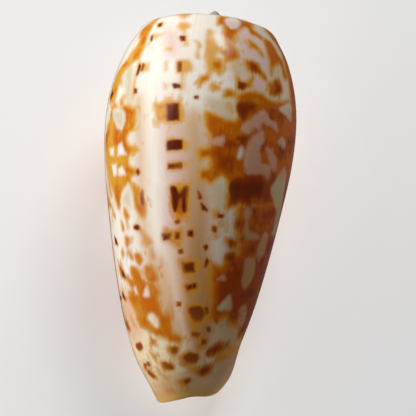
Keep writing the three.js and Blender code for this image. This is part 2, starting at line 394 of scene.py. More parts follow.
@dataclass
class Patchwork:
    """Grids of points that share their edges, welded into one closed mesh."""

    points: list[Array] = field(default_factory=list)
    growth: list[Array] = field(default_factory=list)
    zones: list[Array] = field(default_factory=list)
    faces: list[Array] = field(default_factory=list)
    count: int = 0
    weld_distance: float = 1e-5

    def add(self, zone: Zone, angle: Array, knot: Array, points: Array, inside: Array = 0.0) -> Array:
        """Adds points and returns their numbers.

        Args:
            zone: The part of the surface that the points are on.
            angle: Growth angle of each point, shape (...).
            knot: Knot number of each point, shape (...).
            points: Coordinates, shape (..., 3).
            inside: 0 on the outer surface to 1 in the hollow, shape (...).

        Returns:
            Point numbers, shape (...).
        """
        shape = points.shape[:-1]
        total = int(np.prod(shape))
        self.points.append(points.reshape(-1, 3))
        coordinates = np.stack([np.broadcast_to(value, shape) for value in (angle, knot, inside)], -1)
        self.growth.append(coordinates.reshape(-1, 3).astype(float))
        self.zones.append(np.full(total, zone.value))
        numbers = self.count + np.arange(total).reshape(shape)
        self.count += total
        return numbers

    def grid(self, numbers: Array, reverse: bool = False) -> None:
        """Covers a grid of point numbers with four-sided faces."""
        a, b, c, d = numbers[:-1, :-1], numbers[1:, :-1], numbers[1:, 1:], numbers[:-1, 1:]
        self.polygons(np.stack([a, b, c, d], -1).reshape(-1, 4), reverse)

    def polygons(self, corners: Array, reverse: bool = False) -> None:
        """Adds faces with the same number of corners, shape (faces, corners)."""
        self.faces.append(corners[:, ::-1] if reverse else corners)

    def coarsen(self, fine: Array, coarse: Array, reverse: bool = False) -> None:
        """Joins a line of 3 n + 1 points to a line of n + 1 points with four triangles a step.

        Args:
            fine: Point numbers of the finer line.
            coarse: Those of the coarser line.
            reverse: Whether the faces point the other way.
        """
        f0, f1, f2, f3 = fine[:-1:3], fine[1::3], fine[2::3], fine[3::3]
        c0, c1 = coarse[:-1], coarse[1:]
        for corners in ((f0, f1, c0), (f1, c1, c0), (f1, f2, c1), (f2, f3, c1)):
            self.polygons(np.stack(corners, -1), reverse)

    def fan(self, loop: Array, centre: int, reverse: bool = False) -> None:
        """Closes a loop of point numbers with triangles to one centre point."""
        corners = np.stack([loop, np.roll(loop, -1), np.full(len(loop), centre)], -1)
        self.polygons(corners, reverse)

    def weld(self) -> tuple[Array, Array, Array, list[Array]]:
        """Merges points that lie together.

        Returns:
            Coordinates, growth coordinates, zones, and the faces as arrays of welded point numbers.
        """
        points = np.concatenate(self.points)
        keys = np.round(points / self.weld_distance).astype(np.int64)
        _, first, inverse = np.unique(keys, axis=0, return_index=True, return_inverse=True)
        inverse = inverse.reshape(-1)
        faces = [inverse[block] for block in self.faces]
        return points[first], np.concatenate(self.growth)[first], np.concatenate(self.zones)[first], faces


@dataclass
class ShellMesh:
    """The whole shell as one closed surface: wall, spire ramp, hollow, lip, columella tip and apex."""

    growth: Growth = field(default_factory=Growth)
    rest: Rest = field(default_factory=Rest)
    columns: int = 360
    column_warp: float = 0.3
    column_warp_centre: float = 150.0
    rim_columns: int = 201
    coarsening: int = 3
    wall_rows: int = 192
    lip_lines: int = 6
    ramp_rows: int = 8
    spire_turns: int = 10
    glaze_angle: float = 22.0
    lip_corner_columns: float = 12.0

    def column_angle(self, column: Array) -> Array:
        """Angle behind the lip of a column: columns lie closer together on the back of the shell.

        Args:
            column: Column numbers.

        Returns:
            Angles in degrees.
        """
        turn = math.degrees(self.column_warp)
        centre = math.radians(self.column_warp_centre)
        return column - turn * (np.sin(np.radians(column) - centre) + math.sin(centre))

    def wall_knots(self) -> Array:
        """Knot number of each row from the anterior end to the hollow's roof, evenly spaced along the wall.

        Returns:
            Knot numbers, one more than wall_rows.
        """
        growth = self.growth
        profile = np.array(growth.wall)[:, :2]
        steps = np.linalg.norm(np.diff(profile, axis=0), axis=1)
        along = np.concatenate([[0.0], np.cumsum(steps)])
        knots = growth.seam_knot + np.arange(len(along))
        roof = np.interp(growth.roof_knot, knots, along)
        return np.interp(np.linspace(along[-1], roof, self.wall_rows + 1), along, knots)

    def outer(self, work: Patchwork, zone: Zone, behind: Array, knots: Array) -> Array:
        """Adds a grid of points on the outer surface.

        Args:
            work: The patchwork to add to.
            zone: The part of the surface.
            behind: Angle behind the lip of each column.
            knots: Knot number of each row.

        Returns:
            Point numbers by column and row.
        """
        knot = knots[None, :] + 0.0 * behind[:, None]
        angle = self.growth.lip_at(knot) + behind[:, None]
        return work.add(zone, angle, knot, around_axis(angle, self.growth.section(angle, knot)))

    def build(self) -> Patchwork:
        """Lays all patches of the surface.

        Returns:
            The patchwork, closed but not yet welded.
        """
        growth, work = self.growth, Patchwork()
        low_knots = self.wall_knots()
        high_knots = np.linspace(growth.roof_knot, growth.seam_knot, self.lip_lines + 1)[1:]
        ramp_knots = np.linspace(growth.seam_knot, 0.0, self.ramp_rows + 1)
        behind = self.column_angle(np.arange(self.columns + 1))
        wall = self.outer(work, Zone.WALL, behind, np.concatenate([low_knots, high_knots]))
        work.grid(wall)
        ramp = self.outer(work, Zone.RAMP, behind, ramp_knots)
        work.grid(ramp[:, :-1])
        work.coarsen(ramp[:, -2], ramp[:: self.coarsening, -1])
        self.spire(work, ramp_knots)
        lip_line, rim_line = self.hollow(work, wall, low_knots)
        self.edge(work, wall, ramp, low_knots, high_knots, ramp_knots, lip_line, rim_line)
        return work

    def spire(self, work: Patchwork, ramp_knots: Array) -> None:
        """Lays the older turns of the ramp, more coarsely than the first, and closes them with a low dome.

        Args:
            work: The patchwork to add to.
            ramp_knots: Knot numbers of the ramp's rows.
        """
        later = np.arange(self.columns, self.spire_turns * self.columns + 1, self.coarsening)
        whole = later // self.columns * self.columns
        behind = self.column_angle(later - whole) + whole * TURN / self.columns
        spire = self.outer(work, Zone.RAMP, behind, ramp_knots)
        work.grid(spire)
        per_turn = self.columns // self.coarsening
        loop = np.concatenate([spire[-per_turn - 1:, -1], spire[-1, -2:0:-1]])
        apex = np.concatenate(work.points)[loop].mean(0) + np.array([0.0, self.growth.apex_dome, 0.0])
        apex_number = work.add(Zone.RAMP, behind[-1], 0.0, apex[None, :])
        work.fan(loop, int(apex_number[0]))

    def hollow(self, work: Patchwork, wall: Array, low_knots: Array) -> tuple[Array, Array]:
        """Lays the hollow's floor and ceiling, which meet at its end and under its roof.

        Args:
            work: The patchwork to add to.
            wall: Numbers of the wall's points by column and row.
            low_knots: Knot numbers of the rows up to the hollow's roof.

        Returns:
            Numbers of the ceiling's points along the lip, and along the anterior rim.
        """
        growth, coarse = self.growth, slice(None, None, self.coarsening)
        shares = self.column_angle(np.arange(self.rim_columns + 1))
        shares = shares / shares[-1]
        share_grid, knot_grid = np.meshgrid(shares[coarse], low_knots[coarse], indexing="ij")
        angle, section = growth.floor(share_grid, knot_grid)
        glazed = smoothstep(angle - growth.lip_at(knot_grid) - TURN, 0.0, self.glaze_angle)
        floor = work.add(Zone.FLOOR, angle, knot_grid, around_axis(angle, section), glazed)
        work.grid(floor[1:])
        work.coarsen(wall[-1, : self.wall_rows + 1], floor[1], reverse=True)

        def under_wall(share: Array, knot: Array) -> Array:
            """Adds points of the ceiling and returns their numbers."""
            angle, section = growth.ceiling(share, knot)
            return work.add(Zone.CEILING, angle, knot, around_axis(angle, section), 1.0)

        ceiling = under_wall(share_grid, knot_grid)
        ceiling[-1], ceiling[:, -1] = floor[-1], floor[:, -1]
        lip_line = under_wall(np.zeros_like(low_knots), low_knots)
        rim_line = under_wall(shares, np.full_like(shares, growth.last_knot))
        lip_line[0], lip_line[-1], rim_line[-1] = rim_line[0], wall[-1, self.wall_rows], floor[-1, 0]
        work.grid(ceiling[1:, 1:], reverse=True)
        work.coarsen(lip_line[self.coarsening:], ceiling[1, 1:])
        work.coarsen(rim_line[self.coarsening:], ceiling[1:, 1], reverse=True)
        near = np.concatenate([rim_line[self.coarsening::-1], lip_line[1: self.coarsening + 1]])
        work.polygons(np.stack([near[:-1], near[1:], np.full(len(near) - 1, ceiling[1, 1])], -1))
        return lip_line, rim_line

    def edge(self, work: Patchwork, wall: Array, ramp: Array, low_knots: Array, high_knots: Array,
             ramp_knots: Array, lip_line: Array, rim_line: Array) -> None:
        """Rounds the free edge along the anterior rim and up the lip, and closes the columella's tip.

        A line across the edge is half an ellipse, from the outer surface, forward by lip_round, to the inner.

        Args:
            work: The patchwork to add to.
            wall: Numbers of the wall's points by column and row.
            ramp: Numbers of the first turn of the ramp.
            low_knots: Knot numbers of the rows up to the hollow's roof.
            high_knots: Knot numbers of the rows from there to the seam.
            ramp_knots: Knot numbers of the ramp's rows.
            lip_line: Numbers of the inner points along the lip.
            rim_line: Numbers of the inner points along the rim.
        """
        growth = self.growth
        points = np.concatenate(work.points)
        last = self.rim_columns
        rim_outer, rim_inner = wall[last:0:-1, 0], rim_line[last:0:-1]
        lip_outer = np.concatenate([wall[0], ramp[0, 1:]])
        lip_knots = np.concatenate([low_knots, high_knots, ramp_knots[1:]])
        lip_angle = growth.lip_at(lip_knots)
        lip_inside = around_axis(lip_angle, growth.inset(lip_angle, lip_knots, growth.lip_thickness))
        outer = points[np.concatenate([rim_outer, lip_outer])]
        inner = np.concatenate([points[rim_inner], lip_inside])
        turn = np.radians(lip_angle)
        ahead = -np.stack([np.cos(turn), 0.0 * turn, -np.sin(turn)], -1)
        blend = smoothstep(np.arange(last, 0, -1), 0.0, self.lip_corner_columns)[:, None]
        down = np.array([0.0, -1.0, 0.0])
        forward = np.concatenate([ahead[:1] * (1.0 - blend) + down * blend, ahead])
        forward /= np.linalg.norm(forward, axis=1, keepdims=True)
        middle, half = (outer + inner) / 2.0, (outer - inner) / 2.0
        numbers = [np.concatenate([rim_outer, lip_outer])]
        rim_angle = lip_angle[0] + self.column_angle(np.arange(last, 0, -1))
        edge_angle = np.concatenate([rim_angle, lip_angle])
        edge_knots = np.concatenate([np.full(last, lip_knots[0]), lip_knots])
        for line in range(1, self.lip_lines):
            across = math.pi * line / self.lip_lines
            curve = middle + half * math.cos(across) + forward * growth.lip_round * math.sin(across)
            row = work.add(Zone.LIP, edge_angle, edge_knots, curve, line / self.lip_lines)
            row[-1] = wall[-1, self.wall_rows + self.lip_lines - line]
            numbers.append(row)
        work.grid(np.stack(numbers).T)
        inner_line = np.concatenate([rim_inner, lip_line])
        work.grid(np.stack([numbers[-1][: len(inner_line)], inner_line]).T)
        rest = numbers[-1][len(inner_line) - 1:]
        work.polygons(np.stack([rest[:-1], rest[1:], np.full(len(rest) - 1, inner_line[-1])], -1))
        loop = np.concatenate([
            wall[last:-1, 0],
            self.floor_end(work),
            [row[0] for row in reversed(numbers[1:])],
        ])
        tip = np.concatenate(work.points)[loop].mean(0) - np.array([0.0, growth.lip_round, 0.0])
        tip_number = work.add(Zone.LIP, edge_angle[0], growth.last_knot, tip[None, :])
        work.fan(loop, int(tip_number[0]), reverse=True)

    def floor_end(self, work: Patchwork) -> Array:
        """Numbers of the floor's points along the anterior end, where the columella's tip is closed.

        Args:
            work: The patchwork that holds the floor.

        Returns:
            Point numbers.
        """
        zones = np.concatenate(work.zones)
        knots = np.concatenate(work.growth)[:, 1]
        return np.flatnonzero((zones == Zone.FLOOR.value) & (knots == self.growth.last_knot))


@dataclass(frozen=True)
class PhotoCamera:
    """The camera: where it stands over the shell, in the shell's own axes, and what it frames."""

    target: tuple[float, float, float] = (0.0, 30.0, 0.0)
    lean: float = 12.0
    roll: float = 4.41
    distance: float = 400.0
    pixels: int = 416
    pixel_size: float = 0.1475
    target_pixel: tuple[float, float] = (199.45, 204.7)
    sensor: float = 36.0
    clip: tuple[float, float] = (0.01, 10.0)

    def axes(self) -> Array:
        """Rows right, up and back of the camera in the shell's own axes.

        Returns:
            The three directions, shape (3, 3).
        """
        lean, roll = math.radians(self.lean), math.radians(self.roll)
        back = np.array([0.0, -math.sin(lean), math.cos(lean)])
        level = np.array([1.0, 0.0, 0.0])
        rise = np.cross(back, level)
        right = level * math.cos(roll) + rise * math.sin(roll)
        return np.stack([right, np.cross(back, right), back])

    def place(self) -> Array:
        """The camera's position in the shell's own axes, moved sideways so that the target is off centre.

        Returns:
            The position in millimetres.
        """
        right, up, back = self.axes()
        column, row = self.target_pixel
        aside = (self.pixels / 2.0 - column - 0.5) * self.pixel_size
        above = (row + 0.5 - self.pixels / 2.0) * self.pixel_size
        return np.array(self.target) + back * self.distance + right * aside + up * above

    def pixel(self, points: Array) -> Array:
        """Column and row of the photograph at which points, in the shell's own axes, appear.

        Args:
            points: Points, shape (..., 3).

        Returns:
            Columns and rows, shape (..., 2).
        """
        local = (points - self.place()) @ self.axes().T
        scale = self.distance / self.pixel_size / -local[..., 2]
        centre = self.pixels / 2.0 - 0.5
        return np.stack([centre + local[..., 0] * scale, centre - local[..., 1] * scale], -1)

    def make(self, turn: Array, shift: Array) -> bpy.types.Object:
        """Creates the scene's camera, given how the shell's own axes are turned and moved to the floor's.

        Args:
            turn: Rotation matrix from the shell's own axes to the floor's.
            shift: Move that follows it, in millimetres.

        Returns:
            The camera.
        """
        data = bpy.data.cameras.new("photo_camera")
        data.sensor_width = self.sensor
        data.lens = self.sensor * self.distance / (self.pixels * self.pixel_size)
        data.clip_start, data.clip_end = self.clip
        camera = bpy.data.objects.new("photo_camera", data)
        bpy.context.scene.collection.objects.link(camera)
        place = (turn @ self.place() + shift) * MM
        turned = Matrix((turn @ self.axes().T).tolist()).to_4x4()
        camera.matrix_world = Matrix.Translation(place.tolist()) @ turned
        bpy.context.scene.camera = camera
        return camera


class Tint(Enum):
    """Colours of the markings, in the order in which they lie over the porcelain."""

    PINK = "pink"
    TAN = "tan"
    GREEN = "green"
    ROSE = "rose"
    GOLD = "gold"
    ORANGE = "orange"
    TENT = "tent"
    DARK = "dark"


Outline = tuple[tuple[float, float], ...]

# Outlines drawn one by one, each point a column and row of the photograph, to be carried onto the shell's
# surface.
MARKINGS: dict[Tint, tuple[Outline, ...]] = {
    Tint.PINK: (
        ((228, 22), (246, 32), (262, 46), (272, 72), (262, 96), (244, 92), (236, 62), (234, 46)),
        ((163, 124), (184, 124), (186, 160), (188, 182), (168, 182), (162, 150)),
        ((240, 126), (262, 112), (272, 122), (262, 140), (270, 170), (246, 172), (246, 144)),
        ((182, 222), (204, 224), (202, 256), (186, 256)),
        ((182, 292), (206, 290), (208, 304), (186, 304)),
        ((128, 292), (136, 310), (140, 332), (132, 336), (122, 312), (120, 292)),
        ((244, 258), (254, 262), (252, 284), (242, 290)),
        ((168, 30), (174, 34), (175, 54), (168, 54)),
        ((164, 186), (206, 190), (210, 250), (214, 300), (208, 348), (190, 348), (178, 300), (170, 250)),
        ((156, 258), (166, 262), (176, 300), (182, 332), (172, 322), (162, 300), (158, 280)),
    ),
    Tint.TAN: (
        ((187, 116), (199, 116), (205, 150), (207, 200), (205, 250), (213, 300), (204, 345), (190, 330),
         (184, 280), (184, 200), (185, 150)),
        ((137, 104), (140, 104), (142, 150), (144, 200), (148, 240), (154, 262), (164, 296), (174, 330),
         (169, 332), (158, 300), (150, 268), (143, 240), (140, 200), (138, 150)),
        ((153, 286), (162, 300), (170, 320), (178, 338), (170, 334), (160, 318), (153, 300)),
        ((150, 396), (160, 379), (190, 374), (215, 368), (240, 350), (240, 380), (215, 400), (160, 404)),
    ),
    Tint.GREEN: (
        ((206, 96), (220, 97), (234, 99), (235, 112), (233, 121), (222, 118), (210, 113), (204, 106)),
        ((112, 110), (118, 109), (123, 110), (124, 122), (120, 129), (115, 124), (112, 118)),
        ((121, 200), (125, 192), (128, 186), (130, 196), (131, 208), (126, 206)),
        ((208, 188), (214, 182), (221, 178), (226, 186), (226, 205), (224, 230), (218, 232), (212, 208)),
        ((270, 190), (275, 180), (284, 168), (284, 182), (282, 200), (276, 230), (272, 222), (276, 206)),
        ((258, 240), (264, 232), (268, 237), (263, 256), (259, 262)),
        ((226, 66), (238, 60), (246, 62), (246, 72), (236, 74)),
        ((228, 336), (236, 330), (239, 338), (233, 348), (226, 345)),
        ((280, 108), (287, 104), (291, 106), (291, 120), (285, 115)),
        ((126, 64), (133, 64), (132, 90), (130, 108), (124, 100)),
        ((262, 36), (272, 66), (280, 66), (280, 77), (273, 72)),
    ),
    Tint.ROSE: (
        ((240, 126), (262, 108), (278, 122), (280, 138), (272, 142), (264, 140), (262, 160), (272, 168),
         (268, 180), (246, 176), (244, 150)),
        ((240, 204), (258, 204), (262, 236), (244, 244), (238, 224)),
        ((238, 254), (258, 254), (258, 300), (240, 300), (236, 280)),
        ((282, 120), (292, 116), (300, 140), (296, 172), (286, 164), (284, 140)),
        ((258, 232), (270, 236), (266, 262), (256, 264)),
        ((236, 300), (250, 302), (246, 324), (238, 328)),
        ((206, 134), (226, 132), (227, 150), (208, 150)),
        ((262, 140), (284, 136), (284, 176), (264, 178)),
        ((215, 272), (228, 272), (228, 283), (216, 283)),
    ),
    Tint.GOLD: (
        ((207, 29), (214, 31), (214, 37), (218, 44), (222, 48), (218, 53), (217, 58), (222, 61), (223, 71),
         (219, 76), (213, 72), (209, 75), (206, 70), (204, 55), (205, 40)),
        ((133, 48), (136, 50), (131, 60), (126, 68), (122, 70), (127, 58)),
        ((138, 63), (140, 64), (139, 70), (137, 76), (135, 86), (134, 96), (132, 99), (132, 90), (134, 78)),
        ((141, 63), (149, 62), (149, 70), (142, 72)),
        ((152, 34), (163, 33), (160, 36), (153, 39)),
        ((157, 23), (164, 22), (161, 27), (157, 27)),
        ((179, 22), (187, 22), (190, 26), (183, 30), (178, 27)),
        ((182, 28), (186, 28), (187, 45), (183, 45)),
        ((178, 12), (187, 11), (190, 14), (184, 18), (178, 16)),
        ((165, 47), (171, 47), (171, 50), (165, 50)),
        ((165, 60), (167, 60), (167, 69), (164, 70)),
        ((163, 83), (167, 83), (167, 88), (164, 88)),
        ((176, 60), (190, 60), (192, 70), (184, 74), (184, 88), (179, 88), (180, 74), (177, 72)),
        ((194, 40), (199, 42), (202, 46), (199, 50), (199, 58), (196, 57), (197, 50), (198, 46)),
        ((154, 103), (162, 101), (166, 96), (172, 97), (174, 102), (183, 104), (183, 119), (170, 123),
         (158, 119)),
        ((167, 138), (180, 138), (188, 143), (186, 148), (168, 151)),
        ((168, 161), (181, 161), (188, 164), (183, 168), (170, 170)),
        ((170, 184), (188, 184), (189, 208), (184, 219), (174, 222), (173, 206)),
        ((164, 226), (173, 228), (182, 224), (184, 238), (180, 249), (172, 245), (161, 238)),
        ((179, 258), (197, 259), (199, 270), (192, 276), (184, 277), (179, 266)),
        ((184, 283), (198, 281), (200, 289), (194, 295), (186, 294)),
        ((133, 225), (142, 229), (149, 236), (152, 243), (146, 247), (142, 243), (140, 233)),
        ((149, 246), (152, 248), (154, 258), (151, 258)),
        ((107, 150), (110, 152), (113, 168), (115, 184), (113, 186), (109, 170)),
        ((110, 142), (113, 146), (115, 158), (118, 170), (115, 172), (112, 158)),
        ((105, 160), (107, 160), (110, 180), (112, 196), (109, 194), (107, 178)),
        ((127, 225), (129, 226), (129, 229), (127, 229)),
        ((130, 236), (132, 237), (132, 242), (130, 242)),
        ((119, 75), (122, 78), (122, 86), (119, 84)),
        ((212, 209), (218, 210), (219, 216), (214, 220), (211, 214)),
        ((213, 232), (219, 233), (218, 238), (213, 239)),
        ((209, 83), (216, 84), (220, 87), (216, 91), (209, 90)),
        ((128, 290), (140, 294), (148, 312), (150, 326), (142, 328), (136, 318), (131, 304)),
        ((130, 316), (133, 320), (136, 327), (133, 326)),
        ((205, 262), (214, 264), (212, 300), (206, 292)),
        ((186, 305), (196, 303), (206, 307), (206, 318), (200, 326), (192, 330), (187, 320)),
        ((191, 330), (200, 331), (200, 337), (193, 338)),
        ((196, 345), (203, 334), (207, 341), (204, 347), (196, 350)),
        ((176, 358), (184, 351), (193, 350), (200, 356), (198, 363), (184, 367), (178, 363)),
        ((186, 366), (205, 364), (212, 364), (208, 372), (200, 376), (190, 372)),
        ((178, 379), (190, 377), (190, 382), (183, 387), (178, 385)),
        ((166, 347), (174, 345), (179, 349), (175, 355), (168, 353)),
        ((222, 346), (238, 344), (236, 352), (224, 360), (212, 364), (214, 356)),
        ((155, 366), (160, 371), (164, 376), (158, 373)),
        ((163, 388), (171, 387), (174, 390), (166, 392)),
        ((163, 375), (169, 376), (168, 380), (164, 379)),
    ),
    Tint.ORANGE: (
        ((161, 16), (150, 22), (142, 29), (139, 34), (139, 42), (134, 50), (131, 58), (130, 64), (134, 61),
         (139, 58), (141, 52), (145, 45), (147, 38), (150, 30), (156, 21)),
        ((127, 59), (121, 66), (117, 73), (114, 81), (111, 90), (109, 100), (112, 103), (115, 97),
         (117, 90), (119, 82), (121, 76), (124, 70), (129, 64)),
        ((120, 99), (123, 101), (122, 105), (119, 106)),
        ((218, 16), (230, 15), (240, 18), (249, 21), (254, 25), (252, 28), (258, 33), (263, 37), (261, 40),
         (255, 36), (250, 34), (246, 28), (240, 30), (236, 36), (234, 44), (239, 52), (239, 58), (233, 61),
         (226, 63), (224, 70), (223, 62), (223, 56), (220, 51), (224, 46), (223, 34), (222, 25), (217, 25)),
        ((212, 60), (221, 59), (223, 66), (219, 71), (212, 68)),
        ((247, 39), (252, 41), (257, 46), (262, 52), (263, 57), (260, 55), (255, 49), (249, 48)),
        ((262, 37), (269, 40), (274, 46), (278, 54), (282, 60), (285, 70), (288, 79), (283, 79), (280, 66),
         (276, 66), (273, 70), (272, 76), (270, 75), (269, 66), (267, 56), (264, 46)),
        ((260, 24), (267, 26), (275, 35), (282, 47), (288, 60), (292, 74), (296, 90), (298, 106),
         (291, 108), (289, 92), (287, 80), (284, 66), (280, 52), (274, 42), (266, 32)),
        ((245, 59), (252, 60), (258, 64), (262, 70), (267, 78), (266, 82), (260, 77), (255, 74), (250, 73),
         (246, 68)),
        ((235, 78), (239, 76), (242, 80), (247, 81), (251, 76), (254, 76), (253, 82), (250, 88), (244, 89),
         (240, 91), (236, 88)),
        ((266, 82), (272, 80), (278, 77), (281, 82), (283, 90), (279, 95), (273, 97), (268, 95), (267, 88)),
        ((211, 84), (217, 85), (219, 88), (213, 89)),
        ((225, 89), (231, 89), (237, 94), (233, 97), (223, 97)),
        ((201, 75), (209, 74), (209, 79), (203, 83), (200, 87), (197, 87), (198, 81)),
        ((205, 111), (213, 112), (222, 117), (232, 119), (236, 115), (235, 104), (238, 93), (250, 90),
         (262, 93), (270, 98), (284, 100), (306, 98), (307, 125), (305, 150), (301, 172), (297, 200),
         (292, 206), (250, 210), (240, 206), (236, 206), (230, 209), (225, 206), (226, 184), (222, 177),
         (216, 180), (210, 184), (204, 180), (200, 181), (199, 170), (208, 166), (208, 158), (199, 160),
         (197, 148), (207, 147), (210, 140), (206, 130), (204, 120)),
        ((237, 205), (250, 203), (296, 198), (292, 222), (284, 245), (274, 275), (266, 300), (258, 325),
         (246, 340), (236, 337), (238, 328), (229, 326), (226, 318), (216, 322), (208, 318), (210, 300),
         (210, 285), (210, 262), (216, 264), (222, 263), (226, 252), (236, 252), (237, 247), (240, 240),
         (236, 236), (234, 228), (236, 218)),
        ((224, 238), (232, 238), (238, 242), (236, 248), (230, 249), (225, 244)),
        ((211, 226), (217, 226), (217, 231), (212, 231)),
        ((153, 103), (180, 102), (180, 121), (157, 121)),
        ((170, 185), (175, 188), (181, 185), (188, 186), (188, 204), (186, 214), (179, 217), (174, 213),
         (171, 204)),
        ((124, 104), (130, 106), (135, 108), (136, 118), (134, 126), (128, 134), (127, 140), (130, 144),
         (137, 147), (138, 151), (131, 154), (128, 160), (130, 165), (138, 169), (139, 172), (133, 175),
         (131, 180), (134, 184), (140, 188), (143, 196), (146, 206), (145, 216), (141, 217), (137, 212),
         (134, 206), (133, 196), (129, 184), (124, 186), (121, 194), (120, 206), (117, 208), (114, 196),
         (111, 186), (109, 176), (107, 166), (105, 150), (105, 136), (107, 126), (109, 118), (111, 108),
         (114, 102), (118, 107), (121, 106)),
        ((123, 207), (127, 211), (129, 217), (125, 218), (123, 212)),
        ((121, 221), (123, 226), (124, 230), (122, 230)),
        ((125, 236), (129, 237), (129, 243), (127, 248), (125, 243)),
        ((112, 209), (115, 216), (114, 218), (112, 213)),
        ((107, 192), (109, 199), (111, 206), (109, 207), (107, 199)),
        ((122, 248), (124, 254), (122, 257), (121, 252)),
        ((127, 248), (131, 253), (134, 259), (132, 260), (128, 254)),
        ((118, 263), (122, 268), (125, 274), (126, 279), (121, 276), (119, 270)),
        ((134, 279), (141, 277), (148, 281), (154, 283), (160, 292), (158, 297), (160, 306), (163, 313),
         (170, 314), (171, 324), (173, 332), (180, 335), (182, 341), (172, 343), (165, 338), (156, 336),
         (148, 330), (142, 326), (137, 318), (138, 312), (132, 304), (128, 298), (131, 292), (130, 286),
         (127, 280), (128, 276)),
        ((143, 266), (150, 265), (156, 271), (157, 280), (150, 284), (144, 277)),
        ((130, 266), (135, 266), (140, 272), (142, 280), (136, 284), (131, 276)),
        ((134, 254), (139, 253), (142, 259), (140, 264), (136, 262)),
        ((128, 276), (134, 281), (137, 286), (133, 291), (129, 285)),
        ((138, 316), (144, 313), (148, 320), (146, 327), (140, 326)),
        ((150, 338), (156, 339), (156, 345), (151, 344)),
        ((149, 351), (153, 353), (156, 358), (152, 357)),
        ((168, 348), (174, 346), (178, 350), (174, 354), (169, 352)),
        ((158, 361), (166, 362), (173, 364), (174, 369), (169, 370), (163, 369), (160, 365)),
        ((143, 366), (149, 369), (156, 377), (152, 377), (147, 372)),
        ((188, 308), (195, 305), (203, 308), (204, 316), (200, 323), (192, 322)),
        ((197, 347), (203, 337), (206, 342), (202, 347)),
        ((205, 353), (209, 348), (216, 343), (222, 341), (224, 347), (217, 354), (208, 357)),
        ((198, 371), (204, 366), (213, 365), (209, 372), (202, 375)),
        ((180, 357), (186, 352), (194, 352), (198, 357), (194, 363), (184, 364)),
        ((180, 380), (188, 378), (189, 382), (183, 386)),
        ((124, 318), (127, 321), (130, 328), (129, 331), (126, 327)),
    ),
    Tint.TENT: (
        ((224, 19), (233, 17), (240, 22), (236, 28), (228, 27)),
        ((210, 141), (217, 137), (223, 136), (223, 144), (217, 145)),
        ((241, 128), (247, 121), (254, 116), (262, 110), (266, 113), (270, 119), (276, 123), (277, 132),
         (272, 127), (266, 124), (261, 122), (259, 131), (254, 127), (251, 132), (247, 134)),
        ((244, 160), (247, 145), (250, 137), (256, 133), (263, 130), (264, 140), (260, 146), (260, 155),
         (261, 163), (270, 164), (270, 172), (267, 178), (263, 175), (255, 174), (246, 173)),
        ((240, 146), (243, 146), (244, 152), (241, 158), (237, 156)),
        ((266, 147), (272, 149), (272, 153), (276, 156), (276, 165), (274, 172), (270, 166), (268, 158)),
        ((277, 141), (281, 137), (284, 140), (284, 148), (280, 145)),
        ((279, 108), (285, 104), (290, 103), (291, 121), (286, 116), (282, 112)),
        ((270, 190), (274, 182), (280, 172), (284, 167), (285, 180), (282, 200), (276, 232), (271, 235),
         (274, 222), (276, 212), (274, 204)),
        ((112, 110), (120, 108), (124, 112), (124, 122), (121, 129), (115, 125)),
        ((117, 168), (122, 166), (125, 174), (118, 175)),
        ((117, 145), (121, 142), (126, 154), (117, 156)),
        ((109, 148), (113, 147), (114, 156), (110, 155)),
        ((111, 164), (116, 163), (117, 174), (113, 176)),
        ((133, 288), (135, 286), (138, 294), (135, 295)),
        ((120, 201), (124, 193), (128, 185), (130, 196), (131, 207), (127, 206)),
        ((246, 207), (255, 205), (251, 213), (247, 220), (250, 231), (258, 233), (259, 238), (250, 240),
         (243, 236), (244, 222), (243, 212)),
        ((245, 258), (253, 257), (255, 265), (253, 275), (248, 285), (243, 290), (241, 280), (243, 268)),
        ((264, 232), (268, 236), (266, 245), (263, 256), (258, 262), (256, 254), (258, 245)),
        ((218, 279), (222, 274), (225, 276), (225, 280)),
        ((143, 295), (146, 285), (149, 295)),
        ((147, 317), (152, 312), (158, 320), (158, 327), (152, 325)),
        ((217, 308), (224, 300), (230, 295), (231, 308), (224, 310)),
        ((239, 309), (246, 304), (245, 318), (240, 328), (237, 318)),
    ),
    Tint.DARK: (
        ((112, 90), (113, 93), (111, 98), (110, 97)),
        ((139, 64), (140, 66), (138, 73), (136, 75)),
        ((143, 63), (144, 64), (142, 70), (141, 70)),
        ((134, 89), (136, 89), (136, 92), (134, 92)),
        ((151, 35), (152, 37), (151, 40), (150, 39)),
        ((158, 24), (161, 23), (161, 26), (158, 26)),
        ((180, 36), (184, 36), (184, 40), (181, 40)),
        ((178, 62), (180, 62), (180, 70), (178, 70)),
        ((173, 84), (179, 84), (180, 87), (174, 87)),
        ((249, 62), (256, 64), (258, 70), (252, 71)),
        ((239, 82), (246, 84), (243, 89), (239, 87)),
        ((275, 82), (280, 86), (281, 92), (275, 94)),
        ((195, 96), (197, 96), (197, 97), (195, 97)),
        ((166, 104), (178, 103), (178, 119), (167, 120)),
        ((167, 141), (181, 140), (181, 148), (167, 149)),
        ((168, 164), (181, 163), (181, 167), (168, 168)),
        ((171, 187), (175, 187), (179, 193), (183, 187), (187, 187), (186, 200), (185, 211), (182, 209),
         (181, 200), (179, 198), (177, 205), (175, 211), (173, 208), (172, 198)),
        ((236, 137), (248, 136), (246, 141), (243, 144), (240, 140)),
        ((231, 181), (246, 178), (263, 179), (264, 192), (260, 202), (254, 199), (248, 206), (241, 201),
         (232, 203), (230, 192)),
        ((238, 103), (250, 101), (257, 103), (256, 110), (249, 113), (243, 119), (238, 112)),
        ((278, 155), (281, 158), (279, 160)),
        ((287, 138), (291, 139), (290, 144), (287, 143)),
        ((137, 169), (139, 172), (138, 174), (136, 172)),
        ((142, 190), (143, 198), (143, 204), (141, 202), (140, 195)),
        ((197, 190), (199, 192), (201, 198), (199, 198)),
        ((201, 203), (204, 206), (206, 210), (202, 209)),
        ((175, 221), (178, 220), (179, 222), (176, 223)),
        ((162, 234), (170, 233), (169, 239), (163, 239)),
